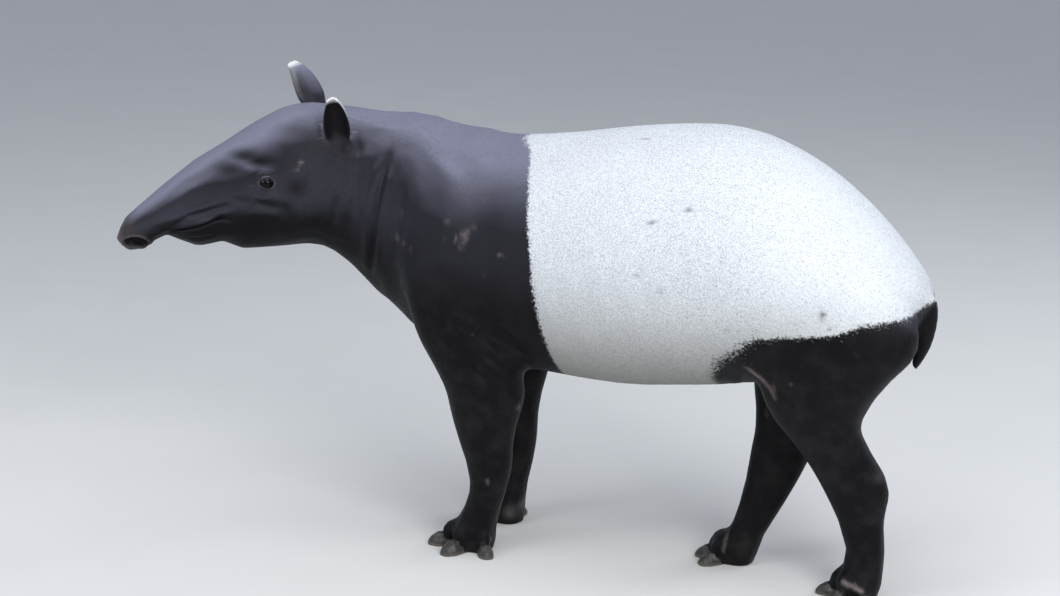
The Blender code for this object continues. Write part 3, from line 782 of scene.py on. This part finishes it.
def unwrap_region(points, straight):
    """0 for the body, 1 to 4 for the legs, and 5 and 6 for the ears."""
    x, y, z = straight.T
    region = np.zeros(len(points), int)
    low = z < LEG_TOP
    region[low & (x < 0) & (y < 0)] = 1
    region[low & (x < 0) & (y >= 0)] = 2
    far_line = np.interp(z, [0.0, 0.12, 0.26, 0.4], [0.21, 0.26, 0.3, 0.32])
    hind = low & (x >= 0)
    near = np.abs(x - HIND_NEAR_X) < np.abs(x - far_line)
    region[hind & near] = 3
    region[hind & ~near] = 4
    ears = ear_share(points) > 0.15
    region[ears & (y < 0)] = 5
    region[ears & (y >= 0)] = 6
    return region


def leg_axis(region, z):
    """The middle of each leg at height z on the straight animal."""
    lines = {
        1: ([0.0, 0.1, 0.3, 0.4], [-0.35, -0.335, -0.325, -0.33], [-0.107, -0.11, -0.13, -0.143]),
        2: ([0.0, 0.1, 0.3, 0.4], [-0.355, -0.35, -0.36, -0.375], [0.107, 0.11, 0.13, 0.143]),
        3: ([0.0, 0.1, 0.25, 0.4], [0.521, 0.532, 0.505, 0.424], [-0.062, -0.066, -0.089, -0.127]),
        4: ([0.0, 0.1, 0.25, 0.4], [0.217, 0.25, 0.3, 0.322], [0.054, 0.059, 0.08, 0.124]),
    }
    heights, xs, ys = lines[region]
    return np.interp(z, heights, xs), np.interp(z, heights, ys)


def unwrap(points, region):
    """Places of points on the unwrap, given the region of the face that each belongs to."""
    straight = straightened(points)
    x, y, z = straight.T
    out = np.zeros((len(points), 2))
    body = region == 0
    above = z - axis_height(x)
    angle = np.arctan2(y, above) / (2 * math.pi)
    radius = np.hypot(y, above)
    along = (x + 0.35 * radius * np.clip(-x / 0.6, -1, 1) + 1.26) / 1.96
    out[body] = np.column_stack([0.01 + 0.98 * along, 0.02 + BODY_SPAN * (angle + 0.5)])[body]
    for number in (1, 2, 3, 4):
        mine = region == number
        mx, my = leg_axis(number, z[mine])
        dx, dy = x[mine] - mx, y[mine] - my
        turn = np.arctan2(dy, dx) / (2 * math.pi) + 0.5
        up = (z[mine] + 0.35 * np.hypot(dx, dy)) / 0.46
        out[mine] = np.column_stack([0.02 + 0.2 * (number - 1) + LEG_SPAN * turn, 0.7 + 0.27 * up])
    for number, ear in enumerate(EARS, 5):
        mine = region == number
        share, side, front = in_ear(points[mine], ear)
        depth = front / 0.1
        u = 0.84 + 0.07 * (number - 5) + 0.03 * (side / 0.08 + 0.5) + 0.012 * depth
        out[mine] = np.column_stack([u, 0.72 + 0.22 * share + 0.02 * depth])
    return out


def unwrap_skin(mesh):
    """Writes the OFBake map of the skin, with each face kept whole across the seams."""
    points = points_of(mesh)
    corners = corners_of(mesh)
    centres = points[corners].mean(axis=1)
    region = unwrap_region(centres, straightened(centres))
    uv = unwrap(points[corners].reshape(-1, 3), np.repeat(region, 3)).reshape(-1, 3, 2)
    for first, last, column, span in ((0, 0, 1, BODY_SPAN), (1, 4, 0, LEG_SPAN)):
        mine = (region >= first) & (region <= last)
        gap = uv[mine][:, :, column] - uv[mine][:, :1, column]
        uv[mine, :, column] = uv[mine][:, :, column] - span * np.round(gap / span)
    layer = mesh.uv_layers.new(name="OFBake")
    layer.data.foreach_set("uv", uv.ravel())


# The coat

def coat_size(points, straight):
    """The length, width and density of tufts at each point."""
    x, z = straight[:, 0], straight[:, 2]
    face = fall(-0.92, -0.72, x)
    muzzle = fall(-1.14, -1.0, x)
    leg = fall(0.22, 0.42, z)
    foot = fall(0.06, 0.14, z)
    length, width, density = BODY_TUFT
    length = length - 0.003 * face - 0.0008 * muzzle - 0.001 * leg - 0.0022 * foot
    width = width - 0.00025 * face - 0.0001 * muzzle - 0.0001 * leg
    density = density + 110000 * face - 40000 * muzzle + 20000 * leg + 30000 * foot
    ear = on_ear(points)
    return [value + (on_ears - value) * ear for value, on_ears in zip((length, width, density), EAR_TUFT)]


def lie(points, straight, normals):
    """The way the hair lies at each point, along the skin."""
    x, y, z = straight.T
    back = unit(placed([-0.9, 0.0, 0.8]) - placed([-1.0, 0.0, 0.8]))
    head = fall(-0.8, -0.5, x)
    way = np.zeros((len(points), 3))
    way[:, 0] = 1.0
    way = way * (1 - head[:, None]) + back * head[:, None]
    down = 0.3 + 0.25 * np.sin(x * 3.0) - 0.2 * head
    leg = fall(0.36, 0.58, z - 0.1 * ramp(0.0, 0.4, np.abs(x - 0.05)))
    way[:, 2] -= down * (1 - leg)
    way = way * (1 - 0.85 * leg[:, None])
    way[:, 2] -= leg
    way[:, 2] += 0.35 * head * ramp(0.8, 0.92, z)
    tail = (x > 0.6) & (z < 0.68)
    way[tail] = (0.0, 0.0, -1.0)
    way[:, 2] += 0.1 * np.sin(x * 23 + z * 17) + 0.06 * np.sin(x * 51 - z * 37)
    ears = ear_share(points)
    for (base, tip, _, _), side in zip(EARS, (-1, 1)):
        way[(ears > 0) & (y * side > 0)] = unit(tip - base)
    way -= normals * (way * normals).sum(axis=1)[:, None]
    return way / np.maximum(norms(way), 1e-6)[:, None]


def roots_on(skin, rng):
    """Random places on the skin for tufts, with their normals."""
    mesh = skin.data
    points, normals = points_of(mesh), normals_of(mesh)
    corners = corners_of(mesh)
    a, b, c = (points[corners[:, k]] for k in range(3))
    area = 0.5 * norms(np.cross(b - a, c - a))
    centres = (a + b + c) / 3
    density = coat_size(centres, straightened(centres))[2]
    count = rng.poisson(area * density)
    face = np.repeat(np.arange(len(corners)), count)
    u, v = rng.random(len(face)), rng.random(len(face))
    flip = u + v > 1
    u[flip], v[flip] = 1 - u[flip], 1 - v[flip]
    w = 1 - u - v
    share = np.column_stack([w, u, v])[:, :, None]
    place = (points[corners[face]] * share).sum(axis=1)
    normal = (normals[corners[face]] * share).sum(axis=1)
    normal /= norms(normal)[:, None]
    return place, normal


def bald(place, normal, straight):
    """True where no hair grows: eyes, nostrils, soles and hooves."""
    x, _, z = straight.T
    none = (lid_opening(straight) < 1.22) & (norms(one_side(straight) - EYE) < EYE_PATCH)
    none |= (nostril_opening(straight) < 1.3) & (x < NOSE_X)
    none |= (z < 0.006) | ((normal[:, 2] < -0.6) & (z < 0.03))
    low = np.nonzero(z < 0.036)[0]
    horn = joined_nodes("horn", HOOVES, 0.0012)
    corners = [vertex.co for vertex in horn.data.vertices]
    tree = BVHTree.FromPolygons(corners, [face.vertices for face in horn.data.polygons])
    for index in low:
        spot, facing, _, _ = tree.find_nearest(Vector(place[index]), 0.02)
        if spot is not None and (Vector(place[index]) - spot).dot(facing) < 0:
            none[index] = True
    bpy.data.objects.remove(horn)
    return none


def tuft_corners(place, normal, straight, rng):
    """The four corners of each tuft: two at its root, one above them and its tip."""
    count = len(place)
    length, width, _ = coat_size(place, straight)
    length = length * rng.uniform(0.75, 1.25, count)
    width = width * rng.uniform(0.8, 1.2, count)
    way = lie(place, straight, normal)
    across = np.cross(normal, way)
    swing = rng.normal(0.0, 0.09, count)[:, None]
    way = way * np.cos(swing) + across * np.sin(swing)
    across = np.cross(normal, way)
    rise = np.radians(rng.uniform(2.0, 7.0, count))[:, None]
    root = place - normal * ROOT_DEPTH
    tip = place + length[:, None] * (way * np.cos(rise) + normal * np.sin(rise))
    half = (width / 2)[:, None]
    corners = np.stack([
        root + across * half, root - across * half, root + normal * (half * 0.7) + way * half * 2, tip,
    ], axis=1)
    corners[:, :, 2] = np.maximum(corners[:, :, 2], COAT_FLOOR)
    return corners


def tuft_meshes(skin):
    """The coat as closed, thin, three-sided tufts, in pieces by region."""
    rng = np.random.default_rng(SEED)
    place, normal = roots_on(skin, rng)
    straight = straightened(place)
    keep = ~bald(place, normal, straight)
    muzzle = fall(-1.235, -1.14, straight[:, 0] + 0.25 * (straight[:, 2] - 0.69))
    keep &= rng.random(len(place)) > muzzle
    place, normal, straight = place[keep], normal[keep], straight[keep]
    corners = tuft_corners(place, normal, straight, rng)
    marks_and_painted_light = markings_and_painted_light(place, normal)
    marks_and_painted_light["saddle"] = marks_and_painted_light["saddle"] + rng.normal(0.0, 0.0055, len(place))
    marks_and_painted_light["grain"] = rng.random(len(place))
    uv = unwrap(place, unwrap_region(place, straight))
    names = np.array(["coat_" + name for name in coat_regions(straight)])
    pieces = []
    for name in sorted(set(names)):
        mine = np.nonzero(names == name)[0]
        parts = max(1, math.ceil(len(mine) / MAX_TUFTS_PER_PIECE))
        order = mine[np.argsort(straight[mine, 0], kind="stable")]
        for number, group in enumerate(np.array_split(order, parts)):
            label = name if parts == 1 else f"{name}_{number + 1}"
            group_marks_and_painted_light = {key: values[group] for key, values in marks_and_painted_light.items()}
            pieces.append(tuft_piece(label, corners[group], uv[group], group_marks_and_painted_light))
    return pieces


def coat_regions(straight):
    x, y, z = straight.T
    names = np.where(y < 0, "barrel_left", "barrel_right").astype(object)
    names[x < -0.22] = "shoulders"
    names[x < -0.56] = "neck"
    names[x < -0.78] = "head"
    rear = x > 0.15
    names[rear & (y < 0)] = "rump_left"
    names[rear & (y >= 0)] = "rump_right"
    names[(z < 0.42) & (x < 0)] = "forelegs"
    names[(z < 0.42) & (x > 0.18)] = "hindlegs"
    return names


def tuft_piece(name, corners, uv, marks_and_painted_light):
    count = len(corners)
    faces = np.array([[0, 2, 3], [2, 1, 3], [1, 0, 3], [0, 1, 2]])
    triangles = (np.arange(count)[:, None, None] * 4 + faces[None]).reshape(-1, 3)
    mesh = triangle_mesh(name, corners.reshape(-1, 3), triangles)
    for key, values in marks_and_painted_light.items():
        set_attribute(mesh, key, np.repeat(values, 4))
    local = np.array([[0.0, 0.0], [1.0, 0.0], [0.5, 0.4], [0.5, 1.0]]) - 0.5
    corner_uv = uv[:, None, :] + PATCH * local[None]
    layer = mesh.uv_layers.new(name="OFBake")
    layer.data.foreach_set("uv", corner_uv.reshape(-1, 2)[triangles.ravel()].ravel())
    mesh.shade_smooth()
    return new_object(name, mesh)


# Materials

class Graph:
    """A small helper that builds one Principled material from nodes."""

    def __init__(self, name, **fixed):
        self.material = bpy.data.materials.new(name)
        self.material.use_nodes = True
        self.tree = self.material.node_tree
        self.shader = self.tree.nodes["Principled BSDF"]
        for key, value in fixed.items():
            self.shader.inputs[key.replace("_", " ")].default_value = value

    def node(self, kind, inputs=None, **settings):
        made = self.tree.nodes.new(kind)
        for key, value in settings.items():
            setattr(made, key, value)
        for key, value in (inputs or {}).items():
            if isinstance(value, bpy.types.NodeSocket):
                self.tree.links.new(value, made.inputs[key])
            else:
                made.inputs[key].default_value = value
        return made

    def attribute(self, name):
        return self.node("ShaderNodeAttribute", attribute_name=name).outputs["Fac"]

    def place(self):
        return self.node("ShaderNodeTexCoord").outputs["Object"]

    def along(self, axis):
        return self.node("ShaderNodeSeparateXYZ", {"Vector": self.place()}).outputs[axis]

    def noise(self, scale, detail=3.0, roughness=0.5, stretch=(1, 1, 1)):
        place = self.place()
        if stretch != (1, 1, 1):
            place = self.node("ShaderNodeMapping", {"Vector": place, "Scale": stretch}).outputs["Vector"]
        inputs = {"Vector": place, "Scale": scale, "Detail": detail, "Roughness": roughness}
        return self.node("ShaderNodeTexNoise", inputs).outputs["Fac"]

    def math(self, operation, first, second, clamp=False):
        made = self.node("ShaderNodeMath", {0: first, 1: second}, operation=operation, use_clamp=clamp)
        return made.outputs[0]

    def vector(self, operation, inputs, output="Vector"):
        return self.node("ShaderNodeVectorMath", inputs, operation=operation).outputs[output]

    def span(self, value, low, high, to_low=0.0, to_high=1.0):
        """Maps a range to another with a soft step."""
        inputs = {"Value": value, "From Min": low, "From Max": high, "To Min": to_low, "To Max": to_high}
        return self.node("ShaderNodeMapRange", inputs, interpolation_type="SMOOTHSTEP").outputs["Result"]

    def mix(self, share, first, second):
        """Mixes two colours, each a socket or three numbers."""
        ends = [end if isinstance(end, bpy.types.NodeSocket) else (*end, 1.0) for end in (first, second)]
        return self.node("ShaderNodeMix", {0: share, 6: ends[0], 7: ends[1]}, data_type="RGBA").outputs[2]

    def layers(self, colour, **layers):
        """Lays colours over one another, each by the strength of the marking of its name."""
        for name, layer in layers.items():
            colour = self.mix(self.attribute(name), colour, layer)
        return colour

    def colour(self, socket):
        self.tree.links.new(socket, self.shader.inputs["Base Color"])

    def roughness(self, socket):
        self.tree.links.new(socket, self.shader.inputs["Roughness"])

    def bump(self, height, strength, distance):
        made = self.node("ShaderNodeBump", {"Height": height, "Strength": strength, "Distance": distance})
        self.tree.links.new(made.outputs["Normal"], self.shader.inputs["Normal"])


BLACK = (0.0024, 0.0022, 0.0028)
BLACK_GREY = (0.007, 0.0066, 0.0088)
BLACK_SKIN = (0.002, 0.0018, 0.0024)
# Painted sky sheen on upward faces, for the black coat and for its skin.
PAINTED_SHEEN_GREY = (0.205, 0.208, 0.282)
PAINTED_SHEEN_SKIN = (0.145, 0.147, 0.2)
WHITE = (0.79, 0.825, 0.86)
# Painted shade between the white hairs, with their dark tips.
WHITE_SHADE = (0.44, 0.46, 0.49)
WHITE_SKIN = (0.61, 0.64, 0.67)
# Painted shade under the belly.
BELLY_SHADE = (0.25, 0.242, 0.22)
LEG_DUST = (0.02, 0.0195, 0.0195)
BARE_SKIN = (0.022, 0.019, 0.022)
PINK_SKIN = (0.15, 0.115, 0.115)
PALE_SCAR = (0.15, 0.128, 0.128)
SPECK = (0.09, 0.08, 0.085)
# Painted shade inside nostrils, mouth and ears.
RECESS_SHADE = (0.006, 0.005, 0.006)
EAR_RIM_WHITE = (0.62, 0.62, 0.62)
SHEEN_TINT = (0.75, 0.78, 1.0, 1.0)


def white_coat(graph, hair, shade):
    """The saddle's white, stippled by fine painted shade between the hairs and their dark tips, less toward
    the rear, and darkened by painted shade under the belly.
    """
    stipple = graph.span(graph.noise(330.0, 2.0, 0.7), 0.4, 0.6)
    cloud = graph.span(graph.noise(9.0, 4.0), 0.3, 0.75, 0.15, 0.0)
    # The painted shade between the hairs fades toward the rear.
    stipple = graph.math("ADD", stipple, graph.span(graph.along("X"), 0.4, 0.8, 0.0, 0.6))
    pale = graph.mix(graph.math("SUBTRACT", stipple, cloud, clamp=True), shade, hair)
    return graph.mix(graph.math("MULTIPLY", graph.attribute("low"), 0.92), pale, BELLY_SHADE)


def dusty_legs(graph, black, mottle):
    """The black of the legs, with patches of grey dust."""
    dust = graph.math("MULTIPLY", graph.attribute("low"), graph.span(mottle, 0.4, 0.75, 0.05, 0.5))
    return graph.mix(dust, black, LEG_DUST)


def skin_material():
    graph = Graph(
        "tapir_skin", Specular_IOR_Level=0.1, Sheen_Weight=0.02, Sheen_Roughness=0.5,
        Sheen_Tint=SHEEN_TINT,
    )
    mottle = graph.noise(24.0, 4.0)
    fine = graph.noise(420.0, 3.0, 0.6)
    strokes = graph.noise(520.0, 2.0, 0.6, (0.28, 1.0, 0.8))
    ragged = graph.math("MULTIPLY", graph.math("SUBTRACT", graph.noise(160.0, 3.0, 0.7), 0.5), 0.03)
    white = graph.span(graph.math("ADD", graph.attribute("saddle"), ragged), -0.004, 0.004)
    black = graph.mix(graph.span(mottle, 0.35, 0.7), BLACK_SKIN, BLACK)
    # Painted sky sheen lightens the skin's black where it faces up.
    black = graph.mix(graph.attribute("painted_sheen"), dusty_legs(graph, black, mottle), PAINTED_SHEEN_SKIN)
    colour = graph.mix(white, black, white_coat(graph, WHITE_SKIN, WHITE_SHADE))
    speckle = graph.span(graph.noise(700.0, 2.0, 0.7), 0.42, 0.62)
    bare = graph.mix(speckle, BARE_SKIN, (0.06, 0.05, 0.052))
    pink = graph.mix(speckle, PINK_SKIN, (0.24, 0.19, 0.19))
    colour = graph.layers(colour, bare=bare, pink=pink, pale=PALE_SCAR, dark=SPECK)
    # Painted shade inside nostrils, mouth and ears, and the white ear rims.
    graph.colour(graph.layers(colour, hollow=RECESS_SHADE, rim=EAR_RIM_WHITE))
    graph.roughness(graph.span(mottle, 0.2, 0.8, 0.42, 0.58))
    graph.bump(graph.math("ADD", fine, strokes), 0.45, 0.001)
    return graph.material


def coat_material():
    graph = Graph(
        "tapir_coat", Roughness=0.46, Specular_IOR_Level=0.12, Sheen_Weight=0.03, Sheen_Roughness=0.4,
        Sheen_Tint=SHEEN_TINT,
    )
    grain = graph.attribute("grain")
    white = graph.span(graph.attribute("saddle"), -0.0002, 0.0002)
    mottle = graph.noise(16.0, 4.0)
    black = graph.mix(graph.math("MULTIPLY", grain, mottle), BLACK, BLACK_GREY)
    # Painted sky sheen, mottled, lightens the coat's black where it faces up.
    shine = graph.span(mottle, 0.1, 0.8, 0.6, 1.1)
    grey = graph.math("MULTIPLY", graph.attribute("painted_sheen"), shine, clamp=True)
    black = graph.mix(grey, dusty_legs(graph, black, mottle), PAINTED_SHEEN_GREY)
    colour = graph.mix(white, black, white_coat(graph, WHITE, WHITE_SHADE))
    colour = graph.layers(colour, pale=PALE_SCAR, dark=SPECK)
    colour = graph.mix(graph.math("MULTIPLY", graph.attribute("pink"), 0.6), colour, PINK_SKIN)
    # Painted shade inside nostrils, mouth and ears, and the white ear rims.
    graph.colour(graph.layers(colour, hollow=RECESS_SHADE, rim=EAR_RIM_WHITE))
    return graph.material


def eye_material(name, gaze, centre):
    """Dark brown iris round a wide pupil, with a wet gloss. gaze is the way that the eye looks."""
    graph = Graph(name, Roughness=0.03, Specular_IOR_Level=0.14)
    offset = graph.vector("SUBTRACT", {0: graph.place(), 1: centre})
    radius = graph.vector("LENGTH", {0: graph.vector("CROSS_PRODUCT", {0: offset, 1: gaze})}, "Value")
    iris = graph.mix(graph.noise(900.0, 3.0), (0.0022, 0.0013, 0.001), (0.006, 0.0034, 0.0024))
    colour = graph.mix(graph.span(radius, 0.0055, 0.0068), (0.0008, 0.0008, 0.0012), iris)
    colour = graph.mix(graph.span(radius, 0.0112, 0.0122), colour, (0.004, 0.003, 0.003))
    colour = graph.mix(graph.span(radius, 0.015, 0.0165), colour, (0.03, 0.024, 0.024))
    graph.colour(colour)
    return graph.material


def hoof_material():
    graph = Graph("hoof_horn", Specular_IOR_Level=0.4)
    streak = graph.noise(140.0, 4.0, 0.6, (1.0, 1.0, 0.22))
    blotch = graph.noise(38.0, 4.0)
    colour = graph.mix(graph.span(streak, 0.3, 0.7), (0.014, 0.013, 0.0125), (0.045, 0.041, 0.037))
    colour = graph.mix(graph.span(blotch, 0.55, 0.75), colour, (0.095, 0.085, 0.075))
    dusty = graph.span(graph.along("Z"), 0.0, 0.01, 0.7, 0.0)
    colour = graph.mix(dusty, colour, (0.13, 0.115, 0.095))
    graph.colour(colour)
    graph.roughness(graph.span(streak, 0.3, 0.7, 0.38, 0.6))
    rings = graph.noise(210.0, 2.0, 0.5, (1.0, 1.0, 2.6))
    graph.bump(graph.math("ADD", streak, rings), 0.5, 0.0006)
    return graph.material


def floor_material():
    graph = Graph("pale_floor", Roughness=0.85)
    graph.colour(graph.mix(graph.noise(3.0, 4.0), (0.6, 0.6, 0.585), (0.64, 0.64, 0.625)))
    return graph.material


# Eyes and hooves

def add_eye(name, index):
    """A finer eyeball with a raised cornea, at its node's place."""
    place, side = EYE_PLACES[index], (-1, 1)[index]
    middle = placed([EYE[0], 0.0, EYE[2]])
    outward = placed([EYE[0], side * 0.2, EYE[2]]) - middle
    ahead = placed([EYE[0] - 0.1, 0.0, EYE[2]]) - middle
    gaze = Vector(outward / 0.2 + ahead + np.array([0, 0, 0.05])).normalized()
    bm = bmesh.new()
    bmesh.ops.create_icosphere(bm, subdivisions=5, radius=EYE_RADIUS)
    for vert in bm.verts:
        toward = vert.co.normalized().dot(gaze)
        vert.co *= 1 + 0.035 * max(0.0, (toward - 0.8) / 0.2) ** 1.5
        vert.co += Vector(place)
    mesh = mesh_of(bm, name + "_ball")
    mesh.shade_smooth()
    ball = new_object(name + "_ball", mesh)
    mesh.materials.append(eye_material(name + "_wet", gaze, Vector(place)))
    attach(ball, "root")
    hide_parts(name)


def add_hoof(name, material):
    """A hoof with rounded edges, fine growth rings and a flat sole, inside its node's shape."""
    hoof = joined_nodes(name.replace("hoof", "horn", 1), [name], 0.0)
    modify(hoof, "even", "REMESH", mode="VOXEL", voxel_size=HOOF_VOXEL)
    modify(hoof, "round", "SMOOTH", iterations=5)
    bake(hoof)
    points, normals = points_of(hoof.data), normals_of(hoof.data)
    x, y, z = points.T
    rings = np.sin(z * 1500 + 2 * np.sin(x * 200) + 2 * np.sin(y * 230))
    chips = np.sin(x * 610 + 1.3) * np.sin(y * 570) * np.exp(-z / 0.006)
    lift = 0.00016 * rings + 0.0006 * chips
    points += normals * lift[:, None] * (normals[:, 2] > -0.5)[:, None]
    points[:, 2] = np.where(points[:, 2] < HOOF_SOLE, 0.0, points[:, 2])
    put_points(hoof.data, points)
    modify(hoof, "thin_out", "DECIMATE", ratio=HOOF_SHARE)
    bake(hoof)
    hoof.data.shade_smooth()
    hoof.data.materials.clear()
    hoof.data.materials.append(material)
    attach(hoof, "root")
    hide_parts(name)


def add_skin():
    skin = base_skin()
    refine(skin)
    sculpt(skin)
    thin_out(skin)
    mesh = skin.data
    points = points_of(mesh)
    points[:, 2] = np.maximum(points[:, 2], SKIN_FLOOR)
    put_points(mesh, points)
    for key, values in markings_and_painted_light(points_of(mesh), normals_of(mesh)).items():
        set_attribute(mesh, key, values)
    unwrap_skin(mesh)
    mesh.shade_smooth()
    mesh.materials.clear()
    mesh.materials.append(skin_material())
    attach(skin, "root")
    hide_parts(*FLESH)
    return skin


def add_coat(skin):
    material = coat_material()
    for piece in tuft_meshes(skin):
        piece.data.materials.append(material)
        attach(piece, "root")


# Stage

def add_floor():
    bm = bmesh.new()
    bmesh.ops.create_grid(bm, x_segments=2, y_segments=2, size=20.0)
    floor = new_object("floor", mesh_of(bm, "floor"))
    floor.data.materials.append(floor_material())


# Name, place, target, size in metres, power in watts and colour of each lamp.
LAMPS = [
    ("overhead", (0.3, -1.4, 4.6), (0.0, 0.0, 0.7), 4.5, 128.0, (0.95, 0.98, 1.0)),
    ("front", (-3.0, -4.2, 2.6), (-0.4, 0.0, 0.7), 2.6, 62.0, (1.0, 0.99, 0.97)),
    ("side", (3.0, -3.2, 2.8), (0.4, 0.0, 0.7), 2.6, 150.0, (1.0, 0.99, 0.98)),
    ("rear", (3.5, 3.0, 3.2), (0.2, 0.0, 0.8), 2.6, 60.0, (0.93, 0.96, 1.0)),
]
SKY_COLOUR = (0.8, 0.86, 1.0, 1.0)
SKY_STRENGTH = 0.55


def add_lights():
    for name, place, target, size, power, colour in LAMPS:
        data = bpy.data.lights.new(name, "AREA")
        data.shape, data.size, data.energy, data.color = "DISK", size, power, colour
        light = new_object(name, data)
        light.location = place
        light.rotation_euler = (Vector(target) - Vector(place)).to_track_quat("-Z", "Y").to_euler()
    world = bpy.data.worlds.new("sky")
    world.use_nodes = True
    background = world.node_tree.nodes["Background"]
    background.inputs["Color"].default_value = SKY_COLOUR
    background.inputs["Strength"].default_value = SKY_STRENGTH
    bpy.context.scene.world = world


def add_camera():
    right = Vector((math.cos(CAMERA_YAW), math.sin(CAMERA_YAW), 0.0))
    level = Vector((-math.sin(CAMERA_YAW), math.cos(CAMERA_YAW), 0.0))
    view = level * math.cos(CAMERA_PITCH) - Vector((0, 0, math.sin(CAMERA_PITCH)))
    up = right.cross(view)
    across = right * math.cos(CAMERA_ROLL) + up * math.sin(CAMERA_ROLL)
    above = up * math.cos(CAMERA_ROLL) - right * math.sin(CAMERA_ROLL)
    data = bpy.data.cameras.new("camera")
    data.sensor_width = SENSOR_WIDTH
    data.lens = SENSOR_WIDTH * FOCAL_PIXELS / PHOTO_WIDTH
    data.clip_end = 100.0
    camera = new_object("camera", data)
    matrix = Matrix((across, above, -view)).transposed().to_4x4()
    matrix.translation = CAMERA_PLACE
    camera.matrix_world = matrix
    bpy.context.scene.camera = camera


def main():
    skin = add_skin()
    add_coat(skin)
    for index, name in enumerate(EYES):
        add_eye(name, index)
    horn = hoof_material()
    for name in HOOVES:
        add_hoof(name, horn)
    add_floor()
    add_lights()
    add_camera()
    bpy.context.scene.view_settings.view_transform = "Standard"


main()
